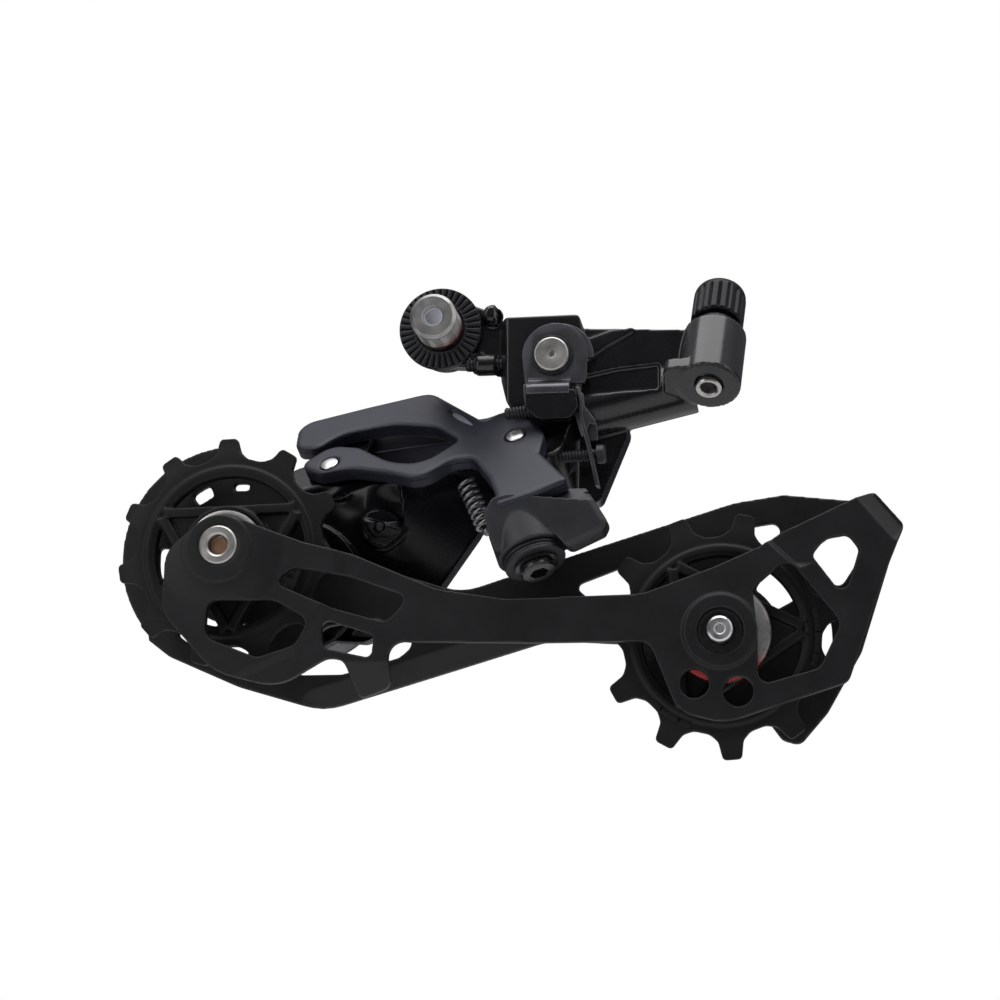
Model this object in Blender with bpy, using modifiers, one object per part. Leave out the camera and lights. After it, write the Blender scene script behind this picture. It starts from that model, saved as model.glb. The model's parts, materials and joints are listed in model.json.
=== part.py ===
"""Rear bicycle derailleur with a long pulley cage, as an assembly of separate pieces.

Frame: the origin is on the serrated ring's face that meets the bicycle's hanger, 7 mm behind the
mounting bolt's axis. Shapes are drawn from the bolt's axis, and everything moves over by that much.
+X points to the rear of the bicycle, +Z up, and -Y to the wheel.
Lengths are in millimetres and are turned into metres where a mesh is made.
"""

import math

import bmesh
import bpy
from mathutils import Matrix, Vector

MM = 0.001
GAP = 0.3
BOLT_AXIS = Vector((-7.0, 0, 0))

# Chain and pulleys
CHAIN_PITCH = 12.7
TEETH = 11
PITCH_RADIUS = CHAIN_PITCH / 2 / math.sin(math.pi / TEETH)
TIP_RADIUS = PITCH_RADIUS + 1.9
ROOT_RADIUS = PITCH_RADIUS - 2.4
TOOTH_TIP_WIDTH = 3.6
TOOTH_BASE_WIDTH = 5.0
PULLEY_MID_Y = -13.2
TOOTH_THICKNESS = 2.4
HUB_LENGTH = 7.0
PULLEY_BOLT_RADIUS = 2.5
BEARING_RADIUS = 6.4
CAP_RADIUS = 8.4
CAP_THICKNESS = 1.4

# Axes that run along Y, as (X, Z)
GUIDE = (-41.3, -50.0)
TENSION = (59.1, -69.0)
CAGE_PIVOT = (-30.0, -55.0)
BRACKET_PIN = (24.7, -8.3)
STOP_PIN = (-12.0, -43.6)

# Parallelogram: both links turn about axes along the pin direction
PIN_DIRECTION = Vector((-0.19, -0.72, 0.67)).normalized()
B_PIN = Vector((17.0, -6.0, -25.4))
P_PIN = Vector((-24.3, 1.85, -28.4))
OUTER_OFFSET = (2.0, -16.0)
LINK_PIN_RADIUS = 1.9
LINK_THICKNESS = 3.2
OUTER_LINK_TOP = -6.0
OUTER_LINK_BOTTOM = -14.0
LUG_BOTTOM = -20.0

# Hanger end
BOLT_RADIUS = 4.95
RING_RADIUS = 8.6
RING_THICKNESS = 1.8

# Screws, as the point of the tip, the direction of the head, and the length under the head
B_SCREW = (Vector((5.6, 0.4, -8.5)), Vector((1, 0, 0)), 14.0)
LIMIT_SCREWS = {
    "upper": (Vector((14.9, -6.0, -20.9)), Vector((1, 0, 0.1)), 12.7),
    "lower": (Vector((23.5, -4.6, -30.3)), Vector((1, 0, 0.05)), 10.4),
}

# Cage plates, as the Y of the wheel-side face and the thickness
NEAR_PLATE_Y = -21.5
FAR_PLATE_Y = -7.2
PLATE_THICKNESS = 2.1

# Cable adjuster: the point where its bore leaves the arm, and its direction upwards
ADJUSTER_EXIT = Vector((57.3, -5.0, -16.0))
ADJUSTER_DIRECTION = Vector((0.09, 0.5, 0.86)).normalized()
ADJUSTER_BOSS_RADIUS = 6.3
KNOB_RADIUS = 5.2

# Cable clamp: the middle of the face under the cable arm, and the direction into the arm
CLAMP_POINT = Vector((21.6, -16.2, -51.6))
CLAMP_DIRECTION = Vector((-0.33, 0.30, 0.90))

LINK_LENGTH = (P_PIN - B_PIN).length


# ---------------------------------------------------------------- frames

def frame_of(origin, x_axis, z_axis):
    """A matrix in millimetres whose columns are x, y, z and the origin."""
    z_axis = z_axis.normalized()
    x_axis = (x_axis - z_axis * x_axis.dot(z_axis)).normalized()
    y_axis = z_axis.cross(x_axis)
    rows = Matrix((x_axis, y_axis, z_axis)).transposed().to_4x4()
    return Matrix.Translation(origin) @ rows


def upright(x=0.0, z=0.0):
    """Local x is X, local y is Z, and local z points to the wheel, along -Y."""
    return frame_of(Vector((x, 0, z)), Vector((1, 0, 0)), Vector((0, -1, 0)))


LINK = frame_of(B_PIN, P_PIN - B_PIN, PIN_DIRECTION)
ADJUSTER = frame_of(ADJUSTER_EXIT, Vector((1, 0, 0)), ADJUSTER_DIRECTION)
CLAMP = frame_of(CLAMP_POINT, Vector((1, 0, 0)), CLAMP_DIRECTION)


def screw_frame(tip, direction, length):
    """Local z runs from the screw's tip to its head."""
    return frame_of(tip, Vector((0, 1, 0)), direction)


def link_point(x, y, z=0.0):
    return LINK @ Vector((x, y, z))


# ---------------------------------------------------------------- outlines

def arc(centre, radius, start, end, steps):
    """Points on an arc, angles in degrees, both ends included."""
    return [polar(centre, radius, start + (end - start) * i / steps) for i in range(steps + 1)]


def circle(centre, radius, steps=24):
    return arc(centre, radius, 0, 360 - 360 / steps, steps - 1)


def rounded(corners, step=22.0):
    """A closed outline through corners (x, y, radius), each rounded by an arc of that radius."""
    points = []
    count = len(corners)
    for i, (x, y, radius) in enumerate(corners):
        here = Vector((x, y))
        before = Vector(corners[i - 1][:2]) - here
        after = Vector(corners[(i + 1) % count][:2]) - here
        turn = math.pi - before.angle(after)
        reach = radius * math.tan(turn / 2)
        if reach < 1e-6:
            points.append((x, y))
            continue
        reach = min(reach, before.length * 0.49, after.length * 0.49)
        start = here + before.normalized() * reach
        end = here + after.normalized() * reach
        steps = max(1, round(math.degrees(turn) / step))
        middle = (start + end) / 2
        outward = here - middle
        sag = reach / math.tan(turn / 2)
        centre = here - outward.normalized() * math.hypot(reach, sag)
        first = start - centre
        side = 1 if first.cross(end - centre) > 0 else -1
        for k in range(steps + 1):
            angle = side * turn * k / steps
            spun = Matrix.Rotation(angle, 2) @ first
            points.append(tuple(centre + spun))
    return points


def polar(centre, radius, degrees):
    """The point at this distance and angle from a centre."""
    angle = math.radians(degrees)
    return (centre[0] + radius * math.cos(angle), centre[1] + radius * math.sin(angle))


# ---------------------------------------------------------------- solids

class Scene:
    """The collections for parts and for construction geometry, and the materials by name."""

    parts = None
    cutters = None
    materials = {}


def start_scene():
    for obj in list(bpy.data.objects):
        bpy.data.objects.remove(obj, do_unlink=True)
    Scene.parts = bpy.data.collections.new("rear_derailleur")
    Scene.cutters = bpy.data.collections.new("cutters")
    for collection in (Scene.parts, Scene.cutters):
        bpy.context.scene.collection.children.link(collection)


def material(name, colour, roughness, metallic):
    made = bpy.data.materials.new(name)
    made.use_nodes = True
    shader = made.node_tree.nodes["Principled BSDF"]
    shader.inputs["Base Color"].default_value = (*colour, 1.0)
    shader.inputs["Roughness"].default_value = roughness
    shader.inputs["Metallic"].default_value = metallic
    Scene.materials[name] = made


def new_object(name, mesh, place):
    obj = bpy.data.objects.new(name, mesh)
    scaled = Matrix.Translation(BOLT_AXIS) @ place
    scaled.translation *= MM
    obj.matrix_world = scaled
    Scene.parts.objects.link(obj)
    return obj


def prism(name, loops, low, high, place):
    """Outlines in local x and y, filled and extruded from low to high along local z."""
    curve = bpy.data.curves.new(name, "CURVE")
    curve.dimensions = "2D"
    curve.fill_mode = "BOTH"
    curve.extrude = (high - low) / 2 * MM
    for loop in loops:
        spline = curve.splines.new("POLY")
        spline.points.add(len(loop) - 1)
        for point, (x, y) in zip(spline.points, loop):
            point.co = (x * MM, y * MM, 0, 1)
        spline.use_cyclic_u = True
    lifted = place @ Matrix.Translation((0, 0, (low + high) / 2))
    shape = new_object(name + "_curve", curve, lifted)
    return curve_to_mesh(name, shape)


def curve_to_mesh(name, shape):
    """Turns a curve object into a mesh object of the same place, with its caps welded on."""
    bpy.context.view_layer.update()
    graph = bpy.context.evaluated_depsgraph_get()
    mesh = bpy.data.meshes.new_from_object(shape.evaluated_get(graph))
    work = bmesh.new()
    work.from_mesh(mesh)
    bmesh.ops.remove_doubles(work, verts=work.verts, dist=1e-7)
    bmesh.ops.recalc_face_normals(work, faces=work.faces)
    work.to_mesh(mesh)
    work.free()
    obj = bpy.data.objects.new(name, mesh)
    obj.matrix_world = shape.matrix_world
    Scene.parts.objects.link(obj)
    bpy.data.objects.remove(shape, do_unlink=True)
    return obj


def cylinder(name, radius, low, high, place, segments=24, top_radius=None):
    """A cylinder or cone along local z."""
    mesh = bpy.data.meshes.new(name)
    work = bmesh.new()
    bmesh.ops.create_cone(
        work,
        cap_ends=True,
        segments=segments,
        radius1=radius * MM,
        radius2=(radius if top_radius is None else top_radius) * MM,
        depth=(high - low) * MM,
        matrix=Matrix.Translation((0, 0, (low + high) / 2 * MM)),
    )
    work.to_mesh(mesh)
    work.free()
    return new_object(name, mesh, place)


def turned(name, profile, place, steps=32):
    """A profile of (radius, height) points, down the outer side from top to bottom, spun about local z."""
    mesh = bpy.data.meshes.new(name)
    work = bmesh.new()
    verts = [work.verts.new((radius * MM, 0, height * MM)) for radius, height in profile]
    closed = profile[0][0] > 0
    for i in range(len(verts) - (0 if closed else 1)):
        work.edges.new((verts[i], verts[(i + 1) % len(verts)]))
    work.to_mesh(mesh)
    work.free()
    obj = new_object(name, mesh, place)
    screw = obj.modifiers.new("turn", "SCREW")
    screw.steps = steps
    screw.render_steps = steps
    screw.use_merge_vertices = True
    screw.merge_threshold = 1e-6
    return obj


def tube(name, outer, inner, low, high, place, steps=32):
    return turned(name, [(outer, high), (outer, low), (inner, low), (inner, high)], place, steps)


def wire(name, points, radius):
    """A round wire through world points."""
    curve = bpy.data.curves.new(name, "CURVE")
    curve.dimensions = "3D"
    curve.bevel_depth = radius * MM
    curve.bevel_resolution = 2
    curve.use_fill_caps = True
    spline = curve.splines.new("POLY")
    spline.points.add(len(points) - 1)
    for point, place in zip(spline.points, points):
        point.co = (*(Vector(place) * MM), 1)
    return curve_to_mesh(name, new_object(name + "_curve", curve, Matrix.Identity(4)))


def helix(place, radius, length, turns, steps):
    """World points along a coil that climbs local z from the frame's origin."""
    points = []
    count = turns * steps
    for i in range(count + 1):
        angle = 2 * math.pi * i / steps
        local = (radius * math.cos(angle), radius * math.sin(angle), length * i / count)
        points.append(place @ Vector(local))
    return points


def use_tool(target, tool, operation):
    """Joins or cuts with another solid, which then counts as construction geometry."""
    boolean = target.modifiers.new(tool.name, "BOOLEAN")
    boolean.operation = operation
    boolean.solver = "EXACT"
    boolean.object = tool
    Scene.parts.objects.unlink(tool)
    Scene.cutters.objects.link(tool)
    tool.hide_render = True
    tool.display_type = "WIRE"


def join(target, *tools):
    for tool in tools:
        use_tool(target, tool, "UNION")


def cut(target, *tools):
    for tool in tools:
        use_tool(target, tool, "DIFFERENCE")


def paint(obj, name):
    obj.data.materials.clear()
    obj.data.materials.append(Scene.materials[name])
    obj.data.shade_smooth()
    obj.data.set_sharp_from_angle(angle=math.radians(35))
    return obj


# ---------------------------------------------------------------- hanger end

def mounting_bolt():
    """The bolt that holds the derailleur to the hanger: hollow threaded end, hexagon socket in the head."""
    place = upright()
    profile = [
        (0, 4.5), (2.0, 4.5), (2.0, 9.5), (4.2, 9.5), (BOLT_RADIUS, 8.8), (BOLT_RADIUS, -1.0),
        (5.3, -1.2), (5.3, -6.7), (7.6, -6.7), (8.0, -7.2), (8.0, -10.4), (7.2, -11.2), (0, -11.2),
    ]
    bolt = turned("mounting_bolt", profile, place)
    cut(bolt, cylinder("bolt_socket", 2.9, -13.0, -7.5, place, segments=6))
    return paint(bolt, "steel")


def serrated_ring():
    """The ring that bites into the hanger. Its flat face is the mounting plane."""
    return paint(tube("serrated_ring", RING_RADIUS, 5.35, -RING_THICKNESS, 0, upright()), "black_steel")


def b_knuckle():
    """The fixed casting: hanger ring, centre block, cable arm, lower barrel and the lug for the links."""
    place = upright()
    ring = arc((0, 0), 7.8, 60, 262, 14)
    web = ring + [(11.4, -9.0), (13.2, -10.3), (16.0, -14.0), (16.0, 0.9), (12.8, 1.2), (9.4, 4.4)]
    body = prism("b_knuckle", [web], -6.4, -2.1, place)

    block = rounded([
        (13.0, 0.8, 1.0), (30.4, 0.9, 1.2), (31.0, -3.0, 2.0), (28.6, -17.6, 2.0),
        (15.2, -19.0, 2.0), (13.2, -12.0, 2.0),
    ])
    join(body, prism("b_block", [block], -9.0, 3.6, place))

    arm = rounded([
        (28.0, -1.4, 0), (56.0, -2.8, 1.0), (60.0, -8.0, 1.0), (55.0, -14.5, 1.0),
        (40.0, -12.8, 4.0), (28.0, -15.0, 0),
    ])
    join(body, prism("b_arm", [arm], -6.5, 1.0, place))
    join(body, cylinder("b_boss", ADJUSTER_BOSS_RADIUS, 0.0, 14.6, ADJUSTER, segments=28))
    heel = rounded([(-9.4, -4.5, 2.0), (1.0, -6.0, 0), (1.0, 6.0, 0), (-9.4, 5.0, 2.0)])
    join(body, prism("b_heel", [heel], 0.4, 5.2, ADJUSTER))

    barrel = frame_of(Vector((30.0, 3.5, -18.0)), Vector((0, 0, 1)), Vector((19.5, 0.5, 3.0)))
    join(body, cylinder("b_barrel", 6.2, 0.0, 23.5, barrel))
    lower = rounded([
        (22.0, -14.0, 0), (41.0, -21.5, 3.0), (33.8, -38.6, 2.0), (24.0, -38.0, 3.0), (17.0, -27.0, 3.0),
    ])
    join(body, prism("b_lower", [lower], -10.0, -3.2, place))

    cut(body, cylinder("b_link_room", 12.0, -LINK_THICKNESS - 0.5, 1.2, LINK, segments=32))
    lug = rounded([
        (4.5, -4.5, 3.5), (7.5, -21.5, 5.0), (-5.0, -21.5, 4.0), (-11.0, -12.0, 4.0),
        (-9.0, 4.0, 4.0), (4.5, 4.5, 4.0),
    ])
    join(body, prism("b_lug", [lug], LUG_BOTTOM, -LINK_THICKNESS - GAP, LINK))
    nub = frame_of(Vector((11.6, 2.5, 3.3)), Vector((1, 0, 0)), Vector((0, -1, 0)))
    join(body, cylinder("b_nub", 1.6, 0.0, 4.0, nub, segments=14))

    cut(body, cylinder("b_bore", 5.65, -10.0, 4.0, place, segments=32))
    cut(body, cylinder("b_pin_bore", 4.0, -4.6, 6.0, upright(*BRACKET_PIN)))
    cut(body, cylinder("b_cable_bore", 2.9, -3.0, 20.0, ADJUSTER))
    cut(body, link_slot("b_slot", OUTER_OFFSET, 0))
    for label, centre in (("1", (0, 0)), ("2", OUTER_OFFSET)):
        cut(body, pin_bore("b_link_bore_" + label, centre))
    cut(body, cylinder("b_tension_bore", 1.6, 2.4, 14.4, screw_frame(*B_SCREW), segments=14))
    for label, screw in LIMIT_SCREWS.items():
        cut(body, cylinder("b_limit_bore_" + label, 1.5, -2.0, 22.0, screw_frame(*screw), segments=14))
    return paint(body, "gloss_black")


def link_slot(name, centre, start):
    """Room for the outer link to swing about one of its pins, on from the start angle in degrees."""
    half, reach, sweep = 6.1, 34.0, 62
    end = start + sweep
    first = polar(polar(centre, half, start - 90), reach, start)
    last = polar(polar(centre, half, end + 90), reach, end)
    back = arc(centre, half, end + 90, start + 270, 6)
    outline = [first, polar(centre, reach, start + sweep / 2), last] + back
    return prism(name, [outline], OUTER_LINK_BOTTOM - GAP, OUTER_LINK_TOP + GAP, LINK)


def pin_bore(name, centre):
    place = LINK @ Matrix.Translation((centre[0], centre[1], 0))
    return cylinder(name, LINK_PIN_RADIUS + GAP, LUG_BOTTOM - 2, 2, place, segments=20)


def adjusting_screws():
    """The B-tension screw and the two limit screws."""
    screws = [cylinder("b_tension_screw", 1.3, 0.0, B_SCREW[2], screw_frame(*B_SCREW), segments=14)]
    for label, screw in LIMIT_SCREWS.items():
        head = screw[2]
        profile = [
            (0, head + 1.8), (1.7, head + 1.8), (2.0, head + 1.5), (2.0, head),
            (1.2, head), (1.2, 0.4), (0.8, 0), (0, 0),
        ]
        screws.append(turned("limit_screw_" + label, profile, screw_frame(*screw), 14))
    for screw in screws:
        paint(screw, "black_steel")


def screw_block():
    """The small block below the bracket plate that the upper limit screw runs through."""
    outline = rounded([(20.6, -17.6, 0.5), (26.8, -17.6, 0.5), (26.8, -21.9, 1.0), (20.6, -21.9, 1.0)])
    block = prism("screw_block", [outline], 4.6, 8.2, upright())
    screw = screw_frame(*LIMIT_SCREWS["upper"])
    cut(block, cylinder("screw_block_bore", 1.5, -2.0, 22.0, screw, segments=14))
    return paint(block, "gloss_black")


def bracket_plate():
    """The pressed steel plate that hangs on the large pin and folds forward at its foot."""
    place = upright()
    arch = arc((25.3, -8.2), 6.9, 0, 180, 12) + [(19.2, -14.4), (31.4, -14.4)]
    plate = prism("bracket_plate", [arch, circle(BRACKET_PIN, 4.0)], 3.9, 5.1, place)
    side = frame_of(Vector((28.6, 0, 0)), Vector((0, -1, 0)), Vector((-1, 0, 0)))
    fold = [
        (3.9, -14.0), (3.9, -14.9), (7.4, -16.0), (7.4, -17.3), (8.5, -17.3), (8.5, -15.2), (5.1, -13.8),
    ]
    join(plate, prism("bracket_fold", [fold], 0.0, 9.0, side))
    return paint(plate, "dark_plate")


def bracket_strip():
    """The pressed strip beside the screws, bent along its length and seen on edge from the wheel side."""
    line = [(29.6, -15.4), (30.4, -18.6), (30.0, -21.4), (31.6, -27.2), (33.6, -36.6)]
    back = [(x + 0.95, z - 0.2) for x, z in reversed(line)]
    strip = prism("bracket_strip", [line + back], 3.1, 6.2, upright())
    screw = screw_frame(*LIMIT_SCREWS["lower"])
    cut(strip, cylinder("strip_bore", 1.5, -2.0, 22.0, screw, segments=14))
    return paint(strip, "dark_plate")


def bracket_pin():
    profile = [(0, 6.6), (3.3, 6.6), (3.7, 6.2), (3.7, -4.0), (0, -4.0)]
    return paint(turned("bracket_pin", profile, upright(*BRACKET_PIN), 28), "steel")


# ---------------------------------------------------------------- cable adjuster

def barrel_adjuster():
    """The fluted knob with its threaded stem, bored through for the cable."""
    flutes, depth = 12, 0.5
    outline = []
    for i in range(flutes):
        for part, inset in ((0.0, 0), (0.42, 0), (0.58, depth), (0.84, depth)):
            radius = KNOB_RADIUS - inset
            outline.append(polar((0, 0), radius, 360 * (i + part) / flutes))
    knob = prism("barrel_adjuster", [outline], 18.4, 25.8, ADJUSTER)
    join(knob, cylinder("knob_cap", KNOB_RADIUS - 0.25, 25.0, 28.9, ADJUSTER, top_radius=3.4))
    join(knob, cylinder("knob_stem", 2.5, 1.0, 20.0, ADJUSTER, segments=20))
    cut(knob, cylinder("knob_bore", 1.3, -2.0, 32.0, ADJUSTER, segments=14))
    return paint(knob, "black_plastic")


def cable_ferrule():
    """The hollow end that the cable leaves by."""
    bush = tube("cable_ferrule", 2.55, 1.6, -0.6, 0.7, ADJUSTER, 24)
    return paint(bush, "steel")


# ---------------------------------------------------------------- parallelogram

def inner_link_outline():
    """Wheel-side link in its own plane: pin end with a lower arm, a raised guard arm and the cable end."""
    lower_arm = [
        (3.4, 14.0, 4.0), (8.6, 5.6, 4.0), (13.4, 5.4, 4.0), (19.6, 10.6, 5.0), (28.6, 6.0, 10.0),
        (36.6, 2.9, 10.0), (44.0, 3.2, 4.0), (49.8, -1.0, 2.5), (43.6, -7.2, 5.0), (36.5, -4.8, 6.0),
        (28.0, 2.4, 12.0), (20.0, 5.2, 8.0),
    ]
    gap_and_guard = [
        (12.6, -1.6, 1.0), (19.5, -8.2, 8.0), (30.0, -11.8, 12.0), (42.0, -11.0, 8.0), (47.0, -6.6, 3.0),
        (52.4, -8.0, 3.0), (53.2, -17.2, 4.0), (38.0, -19.6, 20.0), (24.0, -21.4, 5.0), (7.6, -6.6, 2.0),
    ]
    pin_end = [
        (5.4, -10.6, 2.5), (-2.8, -5.2, 4.0), (-6.6, 1.0, 5.0), (-6.4, 7.4, 0), (-13.7, 18.6, 1.0),
        (-6.8, 23.2, 3.0), (0.8, 23.6, 1.0), (0.9, 20.0, 3.0),
    ]
    return rounded(lower_arm + gap_and_guard + pin_end)


def inner_link():
    link = prism("inner_link", [inner_link_outline()], -LINK_THICKNESS, 0.0, LINK)
    for label, centre in (("1", (0, 0)), ("2", (LINK_LENGTH, 0))):
        cut(link, pin_bore("inner_bore_" + label, centre))
    return paint(link, "blue_grey")


def outer_link():
    """Outboard link: a broad cover whose ends sit in the slots of the two knuckles."""
    x, y = OUTER_OFFSET
    far = x + LINK_LENGTH
    lower_edge = [(x + 14, y - 5.0, 8), (x + 22, y - 8.5, 8), (far - 12, y - 8.5, 8), (far - 6, y - 6.0, 4)]
    near_end = arc((x, y), 5.4, 90, 250, 8)
    far_end = arc((far, y), 5.4, -70, 90, 8)
    outline = near_end + rounded(lower_edge) + far_end
    link = prism("outer_link", [outline], OUTER_LINK_BOTTOM, OUTER_LINK_TOP, LINK)
    for label, centre in (("1", (x, y)), ("2", (far, y))):
        cut(link, pin_bore("outer_bore_" + label, centre))
    return paint(link, "blue_grey")


def link_pins():
    """The four rivets of the parallelogram, on the bodies that they stay in."""
    x, y = OUTER_OFFSET
    places = {
        "link_pin_b_inner": ((0, 0), 0.3),
        "link_pin_b_outer": ((x, y), -4.0),
        "link_pin_p_inner": ((LINK_LENGTH, 0), 0.3),
        "link_pin_p_outer": ((LINK_LENGTH + x, y), -4.0),
    }
    for name, (centre, top) in places.items():
        place = LINK @ Matrix.Translation((centre[0], centre[1], 0))
        radius = LINK_PIN_RADIUS
        profile = [(0, top), (radius - 0.2, top), (radius, top - 0.2), (radius, LUG_BOTTOM), (0, LUG_BOTTOM)]
        paint(turned(name, profile, place, 20), "steel")


def cable_arm():
    """The block under the inner link that carries the cable clamp."""
    outline = rounded([
        (12.0, -45.6, 2.5), (16.0, -42.2, 2.0), (23.3, -41.0, 1.0), (28.9, -38.8, 0.8), (33.4, -38.9, 0.8),
        (37.4, -47.8, 1.6), (30.0, -51.6, 1.5), (25.0, -48.4, 2.0), (18.0, -52.0, 2.0), (15.0, -53.6, 2.0),
    ])
    block = prism("cable_arm", [outline], 13.1, 21.0, upright())
    keep_out = [(-30.0, -12.0), (12.0, -12.0), (12.0, 24.0), (-30.0, 24.0)]
    cut(block, prism("cable_arm_seat", [keep_out], -LINK_THICKNESS - GAP, 12.0, LINK))
    cut(block, cylinder("cable_arm_bore", 2.8, -14.0, 6.0, CLAMP))
    cut(block, cylinder("cable_arm_underside", 9.0, -14.0, -0.8, CLAMP))
    return paint(block, "black_steel")


def cable_clamp():
    """The ridged washer and the anchor bolt that hold the cable's end."""
    washer = rounded([(-6.3, -4.2, 1.0), (6.3, -4.2, 1.0), (6.3, 4.2, 1.0), (-6.3, 4.2, 1.0)])
    plate = prism("cable_clamp_plate", [washer, circle((0, 0), 2.8, 20)], -3.2, -1.2, CLAMP)
    paint(plate, "black_steel")
    profile = [(0, 4.0), (2.5, 4.0), (2.5, -3.5), (4.4, -3.5), (4.4, -6.4), (4.0, -6.8), (0, -6.8)]
    bolt = turned("cable_anchor_bolt", profile, CLAMP, 24)
    cut(bolt, cylinder("anchor_socket", 2.3, -9.0, -4.2, CLAMP, segments=6))
    paint(bolt, "black_steel")


def return_spring():
    """The spring that pulls the links back. Its end coils show beside the cable block."""
    start, end = Vector((6.0, -3.4, -34.4)), Vector((10.4, -3.4, -44.2))
    place = frame_of(start, Vector((0, 1, 0)), end - start)
    coil = helix(place, 1.7, (end - start).length, 8, 10)
    return paint(wire("return_spring", coil, 0.45), "spring_steel")


# ---------------------------------------------------------------- lower knuckle

def p_knuckle():
    """The moving casting: a barrel for the cage pivot and a lug with the pins of the two links."""
    x, z = CAGE_PIVOT
    body = cylinder("p_knuckle", 15.5, -20.0, 4.4, upright(x, z), segments=36)
    housing = rounded([
        (-42.0, -52.0, 2.0), (-37.0, -38.0, 4.0), (-27.0, -26.0, 4.0),
        (-4.0, -31.0, 4.0), (3.0, -31.0, 3.0), (9.0, -43.8, 1.5),
        (-1.6, -56.4, 3.0), (-16.0, -67.0, 4.0), (-34.0, -66.0, 2.0),
    ])
    join(body, prism("p_housing", [housing], -10.0, 0.8, upright()))
    far = LINK_LENGTH + OUTER_OFFSET[0]
    lug = rounded([
        (LINK_LENGTH - 6.0, 8.0, 3.0), (far - 7.5, -10.0, 3.0),
        (far - 7.0, -22.0, 4.0), (far + 6.5, -22.0, 5.0),
        (LINK_LENGTH + 6.0, 0.0, 5.0), (LINK_LENGTH + 5.0, 8.0, 3.0),
    ])
    join(body, prism("p_lug", [lug], LUG_BOTTOM, -LINK_THICKNESS - GAP, LINK))
    stop_boss = upright(*STOP_PIN)
    join(body, cylinder("p_stop_boss", 4.0, -2.0, 3.4, stop_boss, segments=20))
    above = [(-20.0, -60.0), (80.0, -60.0), (80.0, 60.0), (-20.0, 60.0)]
    cut(body, prism("p_above", [above], -LINK_THICKNESS - GAP, 40.0, LINK))
    cut(body, link_slot("p_slot", (far, OUTER_OFFSET[1]), 180))
    for label, centre in (("1", (LINK_LENGTH, 0)), ("2", (far, OUTER_OFFSET[1]))):
        cut(body, pin_bore("p_link_bore_" + label, centre))
    cut(body, cylinder("p_bore", 10.0, -21.0, -1.0, upright(x, z), segments=28))
    cut(body, cylinder("p_axle_bore", 4.5, -6.0, 6.0, upright(x, z), segments=24))
    cut(body, cylinder("p_stop_bore", 1.8, -1.5, 6.0, stop_boss, segments=16))
    return paint(body, "black_alloy")


def knuckle_cover():
    x, z = CAGE_PIVOT
    profile = [(0, -20.3), (15.2, -20.3), (15.2, -22.2), (13.6, -23.6), (0, -23.6)]
    return paint(turned("knuckle_cover", profile, upright(x, z), 36), "gloss_black")


def stop_pin():
    profile = [(0, 4.2), (1.2, 4.2), (1.5, 3.9), (1.5, -1.2), (0, -1.2)]
    return paint(turned("cage_stop_pin", profile, upright(*STOP_PIN), 16), "steel")


def cage_axle():
    x, z = CAGE_PIVOT
    profile = [(0, 7.4), (3.8, 7.4), (4.1, 7.1), (4.1, -15.6), (6.4, -15.6), (6.4, -17.5), (0, -17.5)]
    return paint(turned("cage_axle", profile, upright(x, z), 28), "steel")


def cage_spring():
    """The torsion spring in the knuckle's barrel that keeps the chain tight."""
    x, z = CAGE_PIVOT
    place = frame_of(Vector((x, 3.4, z)), Vector((1, 0, 0)), Vector((0, 1, 0)))
    return paint(wire("cage_spring", helix(place, 7.4, 11.5, 5, 14), 0.9), "spring_steel")


# ---------------------------------------------------------------- cage

def near_plate_outline():
    return rounded([
        (-42.0, -42.6, 9.0), (-33.6, -46.0, 3.0), (-24.0, -49.6, 10.0),
        (-14.0, -52.2, 10.0), (3.0, -59.6, 12.0),
        (17.0, -61.9, 10.0), (44.0, -61.4, 8.0), (58.0, -56.4, 10.0),
        (67.0, -52.6, 3.0), (71.5, -49.6, 4.0),
        (88.8, -42.0, 1.0), (94.9, -49.0, 1.5), (92.0, -58.0, 20.0),
        (84.4, -79.4, 2.5), (59.6, -87.0, 10.0),
        (50.6, -84.6, 6.0), (45.2, -70.8, 3.0), (20.0, -70.7, 20.0), (-6.6, -70.0, 3.0), (-6.6, -78.6, 2.5),
        (-13.4, -80.8, 1.0), (-15.6, -73.6, 2.0), (-19.0, -73.0, 4.0),
        (-29.0, -78.8, 10.0), (-42.0, -75.6, 12.0),
        (-53.4, -63.0, 8.0), (-52.6, -51.0, 6.0),
    ])


def near_plate_windows():
    slot = [
        (-30.4, -57.6, 2.0), (-26.0, -54.8, 3.0), (-15.0, -56.6, 10.0),
        (-2.4, -61.0, 1.8), (-7.0, -66.2, 3.0),
        (-18.0, -63.0, 8.0),
    ]
    lower_left = [
        (-43.6, -61.2, 2.0), (-30.0, -61.2, 6.0), (-22.8, -65.4, 2.0),
        (-25.4, -70.4, 3.0), (-33.2, -72.8, 3.0),
        (-44.2, -68.4, 3.0),
    ]
    small = [(-20.4, -65.0, 1.5), (-9.6, -68.6, 1.2), (-10.0, -73.2, 1.2), (-20.0, -71.0, 2.0)]
    right = [
        (66.8, -60.4, 1.5), (73.0, -55.2, 2.5), (82.4, -67.6, 2.5), (78.0, -76.4, 3.0), (66.4, -79.6, 2.0),
        (66.8, -70.0, 20.0),
    ]
    corner = [(78.0, -52.8, 1.5), (84.0, -50.0, 1.5), (86.8, -52.0, 1.5), (83.6, -61.2, 1.5)]
    windows = [rounded(shape) for shape in (slot, lower_left, small, right, corner)]
    return windows + [circle((53.9, -79.2), 2.8, 18), circle((62.3, -80.8), 2.9, 18)]


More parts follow.
